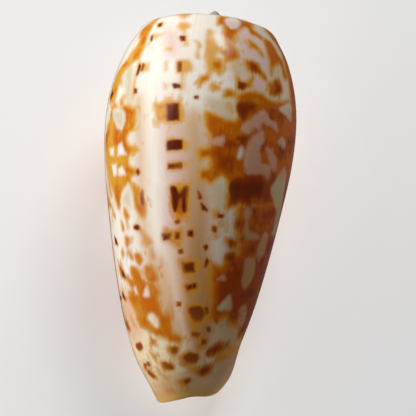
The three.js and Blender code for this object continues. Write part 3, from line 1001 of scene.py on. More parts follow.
        ((175, 232), (179, 232), (179, 238), (175, 238)),
        ((188, 231), (192, 230), (192, 236), (188, 235)),
        ((178, 250), (181, 249), (182, 252), (179, 253)),
        ((182, 263), (193, 262), (194, 271), (184, 272)),
        ((185, 286), (195, 283), (196, 287), (187, 290)),
        ((134, 226), (137, 225), (139, 227), (137, 229), (134, 228)),
        ((114, 236), (116, 240), (117, 244), (115, 243)),
        ((120, 267), (124, 274), (125, 277), (122, 275)),
        ((122, 291), (125, 298), (125, 300), (122, 296)),
        ((118, 292), (121, 298), (120, 299), (118, 295)),
        ((218, 214), (223, 215), (222, 217), (218, 217)),
        ((212, 227), (215, 227), (215, 231), (212, 230)),
        ((203, 246), (206, 245), (207, 247), (205, 249)),
        ((206, 258), (208, 261), (206, 267), (204, 266)),
        ((227, 254), (233, 253), (234, 258), (230, 261), (226, 258)),
        ((228, 240), (234, 241), (234, 245), (230, 246)),
        ((236, 221), (241, 219), (243, 223), (240, 227), (236, 226)),
        ((239, 237), (243, 237), (242, 241), (238, 241)),
        ((246, 245), (252, 243), (256, 247), (255, 253), (250, 255), (246, 250)),
        ((232, 274), (238, 269), (242, 270), (241, 275), (235, 278)),
        ((247, 288), (256, 284), (256, 292), (250, 300), (241, 301), (235, 297), (239, 291)),
        ((251, 207), (256, 208), (257, 212), (258, 221), (254, 220), (252, 212)),
        ((272, 210), (275, 212), (272, 217), (271, 215)),
        ((271, 225), (273, 226), (272, 229)),
        ((257, 231), (260, 231), (259, 234)),
        ((264, 194), (269, 193), (269, 197), (265, 198)),
        ((269, 236), (273, 239), (270, 250), (266, 258), (266, 248)),
        ((258, 258), (264, 255), (263, 264), (258, 268)),
        ((172, 348), (176, 347), (176, 352), (172, 352)),
        ((163, 363), (170, 364), (172, 368), (166, 368)),
        ((148, 370), (154, 376), (152, 376), (148, 373)),
        ((136, 344), (140, 343), (142, 347), (139, 349), (136, 347)),
        ((147, 362), (149, 363), (148, 365)),
        ((144, 364), (146, 364), (145, 366)),
        ((126, 321), (128, 326), (129, 329), (127, 327)),
        ((189, 309), (195, 306), (201, 308), (203, 314), (199, 320), (192, 318)),
        ((205, 307), (207, 308), (207, 313), (206, 312)),
        ((177, 302), (180, 302), (180, 305), (177, 305)),
        ((192, 332), (199, 333), (197, 336), (192, 335)),
        ((206, 328), (209, 327), (210, 330), (208, 331)),
        ((202, 340), (205, 340), (205, 343), (202, 343)),
        ((207, 351), (214, 345), (221, 344), (222, 348), (214, 353), (208, 354)),
        ((222, 343), (228, 342), (228, 345), (223, 346)),
        ((184, 357), (189, 353), (196, 355), (196, 360), (188, 361)),
        ((199, 371), (204, 367), (211, 366), (208, 371), (202, 374)),
        ((184, 380), (189, 379), (189, 381), (185, 383)),
        ((229, 315), (236, 313), (239, 315), (234, 319), (229, 319)),
        ((237, 293), (243, 291), (244, 299), (238, 302)),
        ((214, 318), (217, 318), (216, 322)),
        ((246, 322), (243, 332), (238, 336), (239, 328)),
    ),
}


@dataclass(frozen=True)
class Copy:
    """Markings used again on a side that the photograph hides.

    Those between the low and high growth angles are turned by shift degrees, stretched along the section, slid
    along it by slide millimetres, and moved to and fro by sway.
    """

    low: float
    high: float
    shift: float
    stretch: float
    slide: float
    sway: float


@dataclass
class Painter:
    """Carries outlines from the photograph onto the shell and measures how far each point is from them.

    The surface is unrolled to two coordinates: the growth angle in degrees, and the distance along the section
    from the older seam in millimetres, read off the section at size_angle.
    """

    growth: Growth = field(default_factory=Growth)
    camera: PhotoCamera = field(default_factory=PhotoCamera)
    copies: tuple[Copy, ...] = (
        Copy(-100.0, -22.0, 190.0, 0.95, 2.0, 1.3),
        Copy(12.0, 100.0, 158.0, 0.96, 1.5, -1.2),
        Copy(12.0, 85.0, -184.0, 0.93, 3.0, 1.5),
    )
    sway_degrees: float = 2.0
    sway_length: float = 6.0
    sway_waves: float = 3.0
    curve_steps: int = 4
    reach: float = 2.4
    far: float = 5.0
    samples: int = 1401
    net_angle: float = 130.0
    net_step: float = 2.0
    net_knots: tuple[float, float, int] = (2.0, 14.0, 121)
    newton_steps: int = 6
    nudge: tuple[float, float] = (0.2, 0.01)
    largest_move: tuple[float, float] = (3.0, 0.3)
    least_area: float = 1e-3
    lost_pixels: float = 0.6
    lost_angle: float = 15.0
    beyond_angle: float = 1.2

    def __post_init__(self) -> None:
        """Measures the section's length and the pixels at which the surface appears."""
        self.knots = np.linspace(0.0, self.growth.last_knot, self.samples)
        line = self.growth.section(np.full_like(self.knots, self.growth.size_angle), self.knots)
        steps = np.linalg.norm(np.diff(line, axis=0), axis=1)
        self.arcs = np.concatenate([[0.0], np.cumsum(steps)])
        net_angles = np.arange(-self.net_angle, self.net_angle + self.net_step / 2.0, self.net_step)
        angles, knots = np.meshgrid(net_angles, np.linspace(*self.net_knots), indexing="ij")
        self.net = np.stack([angles, knots], -1)
        pixels = self.pixels_at(self.net)
        across = np.gradient(pixels, axis=0)
        down = np.gradient(pixels, axis=1)
        seen = across[..., 0] * down[..., 1] - across[..., 1] * down[..., 0] > 0.0
        self.net_pixels = pixels[seen]
        self.net = self.net[seen]

    def pixels_at(self, place: Array) -> Array:
        """Pixels at which surface points appear, given growth angle and knot number."""
        section = self.growth.section(place[..., 0], place[..., 1])
        return self.camera.pixel(around_axis(place[..., 0], section))

    def place_of(self, pixels: Array) -> Array:
        """Growth angle and knot number of the surface point seen at each pixel.

        The nearest point of a net is improved by Newton steps, with slopes from small nudges. A pixel beyond
        the shell's outline is put further round the shell, by an angle for each pixel that it is away.

        Args:
            pixels: Columns and rows, shape (count, 2).

        Returns:
            Growth angles and knot numbers, shape (count, 2).
        """
        apart = np.linalg.norm(pixels[:, None] - self.net_pixels[None], axis=-1)
        nearest = apart.argmin(1)
        start = self.net[nearest]
        place = start.copy()
        low, high = np.array([-self.net_angle, 0.0]), np.array([self.net_angle, float(self.growth.last_knot)])
        turned, slid = self.nudge
        for _ in range(self.newton_steps):
            here = self.pixels_at(place)
            across = (self.pixels_at(place + [turned, 0.0]) - here) / turned
            down = (self.pixels_at(place + [0.0, slid]) - here) / slid
            miss = pixels - here
            area = across[:, 0] * down[:, 1] - across[:, 1] * down[:, 0]
            area = np.where(np.abs(area) < self.least_area, self.least_area, area)
            turn = (miss[:, 0] * down[:, 1] - miss[:, 1] * down[:, 0]) / area
            slide = (across[:, 0] * miss[:, 1] - across[:, 1] * miss[:, 0]) / area
            most = np.array(self.largest_move)
            place = np.clip(place + np.clip(np.stack([turn, slide], -1), -most, most), low, high)
        left = np.linalg.norm(self.pixels_at(place) - pixels, axis=-1)
        beyond = (left > self.lost_pixels) | (np.abs(place[:, 0] - start[:, 0]) > self.lost_angle)
        further = start.copy()
        further[:, 0] += np.sign(start[:, 0]) * apart.min(1) * self.beyond_angle
        return np.where(beyond[:, None], further, place)

    def unrolled(self, place: Array) -> Array:
        """Growth angle and distance along the section, from growth angle and knot number."""
        return np.stack([place[..., 0], np.interp(place[..., 1], self.knots, self.arcs)], -1)

    def smooth(self, outline: Array) -> Array:
        """Closed Catmull-Rom curve through an outline's points, where one of four points keeps its corners.

        Args:
            outline: Corner points, shape (count, 2).

        Returns:
            Points of the curve.
        """
        count = len(outline)
        if count == 4:
            return outline
        closed = np.concatenate([outline[-1:], outline, outline[:2]])
        place = 1.0 + np.arange(count * self.curve_steps) / self.curve_steps
        shaped = np.broadcast_to(closed[:, None, :], (count + 3, len(place), 2))
        return spline(shaped, place)

    def outlines(self, tint: Tint) -> list[Array]:
        """Unrolled outlines of one colour: those of the photograph, and their copies on the hidden sides.

        Args:
            tint: The colour.

        Returns:
            Outlines as growth angle and distance along the section.
        """
        found = []
        for outline in MARKINGS[tint]:
            drawn = self.smooth(np.array(outline, float))
            flat = self.unrolled(self.place_of(drawn))
            found.append(flat)
            middle = flat[:, 0].mean()
            for copy in self.copies:
                if copy.low < middle < copy.high:
                    moved = flat * [1.0, copy.stretch]
                    swing = self.sway_degrees * np.sin(flat[:, 1] / self.sway_length)
                    moved[:, 0] += copy.shift + copy.sway * swing
                    moved[:, 1] += copy.slide + copy.sway * np.sin(np.radians(flat[:, 0] * self.sway_waves))
                    found.append(moved)
        return found

    def distances(self, points: Array, tint: Tint) -> Array:
        """Signed distance in millimetres from each unrolled point to the markings of one colour.

        The distance to an outline is that to its nearest side, negative within it. The least one counts.

        Args:
            points: Unrolled coordinates, shape (count, 2).
            tint: The colour.

        Returns:
            Distances, no more than far, shape (count,).
        """
        least = np.full(len(points), self.far)
        for outline in self.outlines(tint):
            middle = outline.mean(0)
            knot = np.interp(middle[1], self.arcs, self.knots)
            around = float(self.growth.section(np.array(middle[0]), np.array(knot))[0])
            scale = np.array([math.radians(1.0) * max(around, 1.0), 1.0])
            flat = (outline - middle) * scale
            low, high = flat.min(0) - self.reach, flat.max(0) + self.reach
            local = (points - middle) * scale
            near = np.flatnonzero(np.all((local > low) & (local < high), axis=1))
            if len(near):
                least[near] = np.minimum(least[near], signed_distance(local[near], flat))
        return least


def signed_distance(points: Array, outline: Array) -> Array:
    """Distance from points to a closed outline, negative inside it.

    The nearest side counts. A point is inside where a ray from it crosses the outline an odd number of times.

    Args:
        points: Points, shape (count, 2).
        outline: Corner points, shape (corners, 2).

    Returns:
        Distances, shape (count,).
    """
    start, end = outline, np.roll(outline, -1, 0)
    side = end - start
    offset = points[:, None] - start[None]
    along = np.clip((offset * side).sum(-1) / np.maximum((side * side).sum(-1), TINY), 0.0, 1.0)
    gap = np.sqrt(((offset - side * along[..., None]) ** 2).sum(-1)).min(1)
    level = points[:, None, 1]
    crosses = (start[None, :, 1] > level) != (end[None, :, 1] > level)
    rise = np.where(np.abs(side[:, 1]) < TINY, TINY, side[:, 1])
    at = start[None, :, 0] + side[None, :, 0] * (level - start[None, :, 1]) / rise[None]
    inside = (crosses & (points[:, None, 0] < at)).sum(1) % 2 == 1
    return np.where(inside, -gap, gap)


Colour = tuple[float, float, float]
Range = tuple[float, float]
Socket = bpy.types.NodeSocket


class Graph:
    """Builds a material's nodes and joins them in one call each."""

    def __init__(self, material: bpy.types.Material) -> None:
        """Starts with the material's own shader.

        Args:
            material: The material, which gets the nodes.
        """
        material.use_nodes = True
        self.tree = material.node_tree
        self.shader = self.tree.nodes["Principled BSDF"]

    def put(self, socket: Socket, value: object) -> None:
        """Links a socket, or sets a constant on it.

        Args:
            socket: The socket that takes the value.
            value: Another node's output, a number or a colour.
        """
        if isinstance(value, Socket):
            self.tree.links.new(value, socket)
        elif isinstance(value, tuple) and len(value) == 3 and socket.type == "RGBA":
            socket.default_value = (*value, 1.0)
        else:
            socket.default_value = value

    def vector(self, name: str) -> Socket:
        """A vector attribute of the mesh.

        Args:
            name: The attribute's name.

        Returns:
            The attribute as one socket.
        """
        source = self.tree.nodes.new("ShaderNodeAttribute")
        source.attribute_name = name
        return source.outputs["Vector"]

    def parts(self, vector: Socket) -> list[Socket]:
        """A vector's three numbers.

        Args:
            vector: The vector.

        Returns:
            Its numbers, a socket each.
        """
        split = self.tree.nodes.new("ShaderNodeSeparateXYZ")
        self.put(split.inputs[0], vector)
        return list(split.outputs)

    def join(self, *values: object) -> Socket:
        """Three numbers as one vector.

        Args:
            values: The numbers.

        Returns:
            The vector.
        """
        node = self.tree.nodes.new("ShaderNodeCombineXYZ")
        for socket, value in zip(node.inputs, values):
            self.put(socket, value)
        return node.outputs[0]

    def math(self, operation: str, *values: object) -> Socket:
        """A math node.

        Args:
            operation: What it works out.
            values: What it works on.

        Returns:
            The result.
        """
        node = self.tree.nodes.new("ShaderNodeMath")
        node.operation = operation
        for socket, value in zip(node.inputs, values):
            self.put(socket, value)
        return node.outputs[0]

    def chain(self, operation: str, values: tuple[object, ...]) -> Socket:
        """One operation carried along several values.

        Args:
            operation: What each math node works out.
            values: Two values or more.

        Returns:
            The result.
        """
        result = values[0]
        for value in values[1:]:
            result = self.math(operation, result, value)
        return result

    def add(self, *values: object) -> Socket:
        """The sum of the values."""
        return self.chain("ADD", values)

    def times(self, *values: object) -> Socket:
        """The product of the values."""
        return self.chain("MULTIPLY", values)

    def most(self, *values: object) -> Socket:
        """The greatest of the values."""
        return self.chain("MAXIMUM", values)

    def without(self, share: object) -> Socket:
        """What a share leaves of 1."""
        return self.math("SUBTRACT", 1.0, share)

    def weigh(self, weights: tuple[float, ...], *values: object) -> Socket:
        """The sum of the values, each times its weight."""
        return self.add(*(self.times(value, weight) for value, weight in zip(values, weights)))

    def step(self, value: object, low: float, high: float) -> Socket:
        """A smooth ramp from 0 to 1.

        Args:
            value: What the ramp maps.
            low: Where it is 0. It may be the greater of the two.
            high: Where it is 1.

        Returns:
            The ramp's value.
        """
        node = self.tree.nodes.new("ShaderNodeMapRange")
        node.interpolation_type = "SMOOTHSTEP"
        self.put(node.inputs["Value"], value)
        node.inputs["From Min"].default_value = low
        node.inputs["From Max"].default_value = high
        return node.outputs["Result"]

    def mix(self, share: object, first: object, second: object) -> Socket:
        """One colour laid over another.

        Args:
            share: How much of the second colour shows.
            first: The colour below.
            second: The colour above.

        Returns:
            The blend.
        """
        node = self.tree.nodes.new("ShaderNodeMix")
        node.data_type = "RGBA"
        below, above = [socket for socket in node.inputs if socket.type == "RGBA"]
        self.put(node.inputs[0], share)
        self.put(below, first)
        self.put(above, second)
        return next(socket for socket in node.outputs if socket.type == "RGBA")

    def bump(self, height: object, depth: float) -> None:
        """Tilts the shading by a height.

        Args:
            height: The height.
            depth: Its unit in millimetres.
        """
        node = self.tree.nodes.new("ShaderNodeBump")
        node.inputs["Distance"].default_value = depth * MM
        self.put(node.inputs["Height"], height)
        self.put(self.shader.inputs["Normal"], node.outputs[0])


@dataclass(frozen=True)
class Grain:
    """A noise: the width of its spots across the growth lines, their length along them, and its detail."""

    across: float
    along: float
    detail: float = 3.0


class Pattern(Graph):
    """The nodes of the shell's pattern: the fields of its mesh, and noises that follow the growth lines.

    side and facing say how far a point of a cylinder round the axis lies towards +X and towards the back. arc
    is the distance along the section from the spire, end_gap that to the anterior end.
    """

    STREAK = Grain(0.3, 3.0)
    SPOT = Grain(1.1, 1.2, 1.5)
    PATCH = Grain(3.2, 3.0)
    FLECK = Grain(1.2, 1.7, 1.0)
    THREAD = Grain(0.35, 7.0)
    HAIR = Grain(0.18, 9.0)
    BRUSH = Grain(7.0, 0.55)
    FLAME = Grain(2.6, 6.0, 1.5)
    FLAME_STRETCH = 60.0
    WOBBLE = (0.55, 0.55)
    UNEVEN = (5.5, 1.6)

    def __init__(self, material: bpy.types.Material) -> None:
        """Reads the fields and makes the noises.

        Args:
            material: The material, which gets the nodes.
        """
        super().__init__(material)
        self.grain = self.vector("grain")
        self.side, self.facing, self.arc = self.parts(self.grain)
        self.orange_gap, self.dark_gap, self.tent_gap = self.parts(self.vector("stain"))
        self.gold_gap, self.pink, self.tan = self.parts(self.vector("wash"))
        self.green, self.inside, self.rose = self.parts(self.vector("shade"))
        self.size, self.end_gap, _ = self.parts(self.vector("age"))
        self.outside = self.without(self.inside)
        self.streak = self.noise(self.STREAK, self.grain)
        self.thread = self.noise(self.THREAD, self.grain)
        self.hair = self.noise(self.HAIR, self.grain)
        self.wobble = self.weigh(self.WOBBLE, self.streak, self.noise(self.SPOT, self.grain))
        self.uneven = self.weigh(self.UNEVEN, self.noise(self.PATCH, self.grain), self.streak)

    def noise(self, grain: Grain, place: Socket) -> Socket:
        """Noise about 0, from about -0.3 to 0.3.

        Args:
            grain: The size of its spots, and its detail.
            place: Where it is read.

        Returns:
            The noise.
        """
        stretch = self.tree.nodes.new("ShaderNodeMapping")
        across = 1.0 / grain.across
        stretch.inputs["Scale"].default_value = (across, across, 1.0 / grain.along)
        self.put(stretch.inputs["Vector"], place)
        node = self.tree.nodes.new("ShaderNodeTexNoise")
        node.inputs["Scale"].default_value = 1.0
        node.inputs["Detail"].default_value = grain.detail
        self.put(node.inputs["Vector"], stretch.outputs[0])
        return self.math("SUBTRACT", node.outputs["Fac"], 0.5)


@dataclass(frozen=True)
class Porcelain:
    """The shell's glossy finish: cream porcelain with gold, orange and dark stains under a clear glaze, with
    painted shade towards the +X flank and on the spire's nub.

    A range says where something starts and where it is full, in millimetres of side, arc, end_gap or facing, of
    the gap to an outline or the depth within it, or in a noise's own unit. A share says how much of it shows.
    """

    cream: Colour = (0.88, 0.81, 0.70)
    amber: Colour = (0.93, 0.70, 0.35)
    pink: Colour = (0.80, 0.57, 0.49)
    sand: Colour = (0.80, 0.51, 0.32)
    rose: Colour = (0.66, 0.35, 0.24)
    tan: Colour = (0.66, 0.40, 0.20)
    green: Colour = (0.64, 0.53, 0.32)
    umber: Colour = (0.42, 0.20, 0.06)
    tawny: Colour = (0.61, 0.235, 0.016)
    gold: Colour = (0.72, 0.34, 0.025)
    orange: Colour = (0.58, 0.13, 0.001)
    burnt: Colour = (0.33, 0.045, 0.0005)
    sienna: Colour = (0.43, 0.12, 0.010)
    maroon: Colour = (0.12, 0.012, 0.002)
    # painted shade: grey laid on the spire's nub
    nub: Colour = (0.40, 0.36, 0.34)
    glaze: Colour = (0.86, 0.78, 0.70)
    specular: float = 0.15
    roughness: float = 0.22
    coat: float = 0.1
    coat_roughness: float = 0.1

    front_arc: Range = (40.0, 56.0)
    front_share: float = 0.7
    # painted shade: a tan wash that darkens the cream towards the +X flank, where the light falls off
    painted_shade_side: Range = (4.0, 11.0)
    painted_shade_share: float = 0.45
    sand_arc: Range = (32.0, 44.0)
    # painted shade: the tan wash turns to umber towards +X and down the shell
    tan_shade_side: Range = (-5.0, 1.0)
    tan_shade_arc: Range = (20.0, 42.0)
    tan_shade_end: Range = (2.0, 8.0)
    tan_share: float = 0.9
    green_share: float = 0.85
    # painted shade: an umber wash over the lower +X flank, darker where the light falls off
    flank_shade_side: Range = (0.0, 9.0)
    flank_shade_arc: Range = (12.0, 42.0)
    flank_shade_end: Range = (3.0, 13.0)
    flank_shade_share: float = 0.9
    hair_noise: Range = (0.0, 0.35)
    hair_share: float = 0.25
    brush_noise: Range = (0.0, 0.2)
    brush_share: float = 0.35
    rim_end: Range = (2.2, 0.2)
    rim_share: float = 0.6

    tent_gap: Range = (-0.4, 0.4)
    tent_wobble: float = 0.8
    gold_gap: Range = (0.6, -0.6)
    gold_share: float = 0.92
    thread_noise: Range = (0.04, 0.2)
    thread_facing: Range = (8.5, 5.0)
    thread_share: float = 0.5
    fleck_noise: Range = (0.05, 0.2)
    fleck_gap: Range = (2.4, 0.2)
    fleck_arc: Range = (3.0, 6.0)
    fleck_share: float = 0.65
    tawny_arc: Range = (24.0, 40.0)
    orange_depth: Range = (0.0, 0.8)
    orange_noise: Range = (-1.6, -0.2)
    # partly painted shade: the stains turn more orange towards the +X flank
    orange_shade_per_side: float = 0.08
    burnt_depth: Range = (0.4, 1.8)
    burnt_noise: Range = (-0.8, 0.8)
    burnt_per_arc: float = 0.05
    burnt_arc: float = 26.0
    # partly painted shade: burnt is laid only towards the +X flank, over the real burnt stain
    burnt_shade_side: Range = (-8.0, 5.0)
    stain_depth: Range = (-0.6, 0.4)

    fringe: tuple[float, float] = (1.4, 1.2)
    fringe_side: Range = (2.0, 8.0)
    dark_wobble: float = 0.6
    halo_depth: Range = (-0.75, 0.0)
    halo_noise: Range = (-1.2, 0.4)
    halo_share: float = 0.4
    burnt_ring_side: Range = (1.0, 6.0)
    soft_side: Range = (3.0, 6.0)
    ring_depth: Range = (-0.35, 0.0)
    soft_ring_depth: Range = (-0.8, 0.8)
    core_depth: Range = (-0.2, 0.25)
    soft_core_depth: Range = (-0.05, 1.2)
    core_uneven: float = 0.1
    core_streak: float = 0.7
    core_noise: Range = (-1.5, 0.5)
    core_least: float = 0.75
    pale_side_share: float = 0.4
    pale_arc: Range = (44.0, 50.0)
    pale_arc_share: float = 0.5

    ramp_arc: Range = (2.0, 1.3)
    flame_noise: Range = (0.03, 0.1)
    flame_burnt_noise: Range = (0.06, 0.2)
    nub_size: Range = (0.16, 0.11)
    cord_pitch: float = 1.3
    cord_arc: Range = (48.0, 56.0)
    relief: float = 0.02
    hair_relief: float = 0.6
    cord_relief: float = 0.6

    def washed(self, graph: Pattern) -> Socket:
        """The porcelain under the markings: cream, washed darker towards the anterior end, with painted shade
        in tan and umber towards the +X flank.

        Args:
            graph: The pattern's nodes.

        Returns:
            Its colour.
        """
        front = graph.step(graph.arc, *self.front_arc)
        base = graph.mix(graph.times(front, self.front_share), self.cream, self.amber)
        # painted shade: the cream is washed tan towards the +X flank, where less light falls
        shade = graph.step(graph.side, *self.painted_shade_side)
        base = graph.mix(graph.times(shade, self.painted_shade_share), base, self.tan)
        blush = graph.mix(graph.step(graph.arc, *self.sand_arc), self.pink, self.sand)
        base = graph.mix(graph.pink, base, blush)
        # painted shade: where the tan wash lies towards +X and lower down, it is darkened to umber
        tan_shade = graph.times(graph.step(graph.side, *self.tan_shade_side), graph.step(graph.arc, *self.tan_shade_arc),
                            graph.step(graph.end_gap, *self.tan_shade_end))
        base = graph.mix(graph.times(graph.tan, self.tan_share), base, graph.mix(tan_shade, self.tan, self.umber))
        base = graph.mix(graph.times(graph.green, self.green_share), base, self.green)
        base = graph.mix(graph.rose, base, self.rose)
        # painted shade: umber laid over the lower +X flank, where the light falls off
        flank = graph.times(graph.step(graph.side, *self.flank_shade_side), graph.step(graph.arc, *self.flank_shade_arc),
                            graph.step(graph.end_gap, *self.flank_shade_end), self.flank_shade_share)
        base = graph.mix(flank, base, self.umber)
        hair = graph.times(graph.step(graph.hair, *self.hair_noise), self.hair_share)
        base = graph.mix(hair, base, self.tan)
        brush = graph.step(graph.noise(graph.BRUSH, graph.grain), *self.brush_noise)
        base = graph.mix(graph.times(brush, front, self.brush_share), base, self.tan)
        rim = graph.step(graph.end_gap, *self.rim_end)
        return graph.mix(graph.times(rim, self.rim_share), base, self.gold)

    def stained(self, graph: Pattern, base: Socket) -> Socket:
        """Gold and orange stains, with flecks near them and threads at the flanks, but clear of the tents.

        A stain is gold at its edge and turns orange, then burnt, with depth, unevenly. It turns more orange and
        burnt towards the +X flank, partly as a real burnt stain and partly as painted shade.

        Args:
            graph: The pattern's nodes.
            base: The colour under them.

        Returns:
            The colour with the stains.
        """
        tent = graph.weigh((1.0, self.tent_wobble), graph.tent_gap, graph.wobble)
        clear = graph.times(graph.step(tent, *self.tent_gap), graph.outside)
        threads = graph.times(graph.step(graph.thread, *self.thread_noise),
                              graph.step(graph.facing, *self.thread_facing), self.thread_share)
        flecks = graph.times(graph.step(graph.noise(graph.FLECK, graph.grain), *self.fleck_noise),
                             graph.step(graph.orange_gap, *self.fleck_gap),
                             graph.step(graph.arc, *self.fleck_arc), self.fleck_share)
        gold = graph.step(graph.add(graph.gold_gap, graph.wobble), *self.gold_gap)
        gold = graph.times(gold, self.gold_share)
        ochre = graph.mix(graph.step(graph.arc, *self.tawny_arc), self.gold, self.tawny)
        colour = graph.mix(graph.times(graph.most(gold, threads, flecks), clear), base, ochre)
        depth = graph.weigh((-1.0, -1.0), graph.orange_gap, graph.wobble)
        # partly painted shade: the stain turns more orange towards the +X flank
        patchy = graph.weigh((1.0, self.orange_shade_per_side), graph.uneven, graph.side)
        cloud = graph.step(patchy, *self.orange_noise)
        stain = graph.mix(graph.times(graph.step(depth, *self.orange_depth), cloud), ochre, self.orange)
        lower = graph.math("SUBTRACT", graph.arc, self.burnt_arc)
        cloud = graph.step(graph.weigh((1.0, self.burnt_per_arc), graph.uneven, lower), *self.burnt_noise)
        # partly painted shade: burnt only towards the +X flank, on top of the real burnt stain
        burnt = graph.times(graph.step(depth, *self.burnt_depth), cloud,
                            graph.step(graph.side, *self.burnt_shade_side))
        stain = graph.mix(burnt, stain, self.burnt)
        return graph.mix(graph.times(graph.step(depth, *self.stain_depth), clear), colour, stain)

    def dark_depth(self, graph: Pattern) -> Socket:
        """Depth within the dark marks, whose edges are ragged, and fringed on the flank.

        Args:
            graph: The pattern's nodes.

        Returns:
            The depth in millimetres, negative outside them.
        """
        ragged = graph.weigh(self.fringe, graph.streak, graph.thread)
        fringe = graph.times(ragged, graph.step(graph.side, *self.fringe_side))
        return graph.weigh((-1.0, -1.0, -self.dark_wobble), graph.dark_gap, fringe, graph.wobble)

    def marked(self, graph: Pattern, colour: Socket, depth: Socket) -> Socket:
        """Dark marks: a ring round a darker core, softer on the flank and paler there and at the anterior end.

        Args:
            graph: The pattern's nodes.
            colour: The colour under them.
            depth: Depth within the marks.

        Returns:
            The colour with the marks.
        """
        soft = graph.step(graph.side, *self.soft_side)
        crisp = graph.without(soft)
        ring = graph.mix(graph.step(graph.side, *self.burnt_ring_side), self.sienna, self.burnt)
        edge = graph.add(graph.times(graph.step(depth, *self.ring_depth), crisp),
                         graph.times(graph.step(depth, *self.soft_ring_depth), soft))
        colour = graph.mix(edge, colour, ring)
        pale = graph.most(graph.times(soft, self.pale_side_share),
                          graph.times(graph.step(graph.arc, *self.pale_arc), self.pale_arc_share))
        inner = graph.weigh((1.0, self.core_uneven, self.core_streak), depth, graph.uneven, graph.streak)
        core = graph.add(graph.times(graph.step(inner, *self.core_depth), crisp),
                         graph.times(graph.step(inner, *self.soft_core_depth), soft))
        patchy = graph.times(graph.step(graph.uneven, *self.core_noise), 1.0 - self.core_least)
        core = graph.times(core, graph.without(pale), graph.add(patchy, self.core_least))
        return graph.mix(core, colour, self.maroon)

    def crowned(self, graph: Pattern, colour: Socket) -> Socket:
        """Gold and burnt flames on the spire's ramp, and its nub in grey, which is painted shade.

        Args:
            graph: The pattern's nodes.
            colour: The colour under them.

        Returns:
            The colour with the spire's.
        """
        ramp = graph.times(graph.step(graph.arc, *self.ramp_arc), graph.outside)
        place = graph.join(graph.side, graph.facing, graph.times(graph.size, graph.FLAME_STRETCH))
        flame = graph.noise(graph.FLAME, place)
        fire = graph.mix(graph.step(flame, *self.flame_burnt_noise), self.gold, self.burnt)
        colour = graph.mix(graph.times(ramp, graph.step(flame, *self.flame_noise)), colour, fire)
        # painted shade: the spire's nub is laid grey
        return graph.mix(graph.step(graph.size, *self.nub_size), colour, self.nub)

    def make(self) -> bpy.types.Material:
        """Builds the material.

        Each marking is laid by its distance from the outlines. The distance is moved by streaks that follow
        the growth lines, so that edges are ragged. The hollow is plain glaze. Hairs and cords are fine relief.

        Returns:
            The material.
        """
        material = bpy.data.materials.new("glazed_porcelain")
        graph = Pattern(material)
        depth = self.dark_depth(graph)
        halo = graph.times(graph.step(depth, *self.halo_depth), graph.step(graph.uneven, *self.halo_noise),
                           self.halo_share)
        colour = graph.mix(halo, self.washed(graph), self.tawny)
        colour = self.marked(graph, self.stained(graph, colour), depth)
        colour = graph.mix(graph.inside, self.crowned(graph, colour), self.glaze)
        cords = graph.times(graph.math("SINE", graph.times(graph.arc, math.tau / self.cord_pitch)),
                            graph.step(graph.arc, *self.cord_arc))
        graph.bump(graph.weigh((self.hair_relief, self.cord_relief), graph.hair, cords), self.relief)
        shader = graph.shader.inputs
        graph.put(shader["Base Color"], colour)
        shader["Specular IOR Level"].default_value = self.specular
        shader["Roughness"].default_value = self.roughness
        shader["Coat Weight"].default_value = self.coat
        shader["Coat Roughness"].default_value = self.coat_roughness
        return material


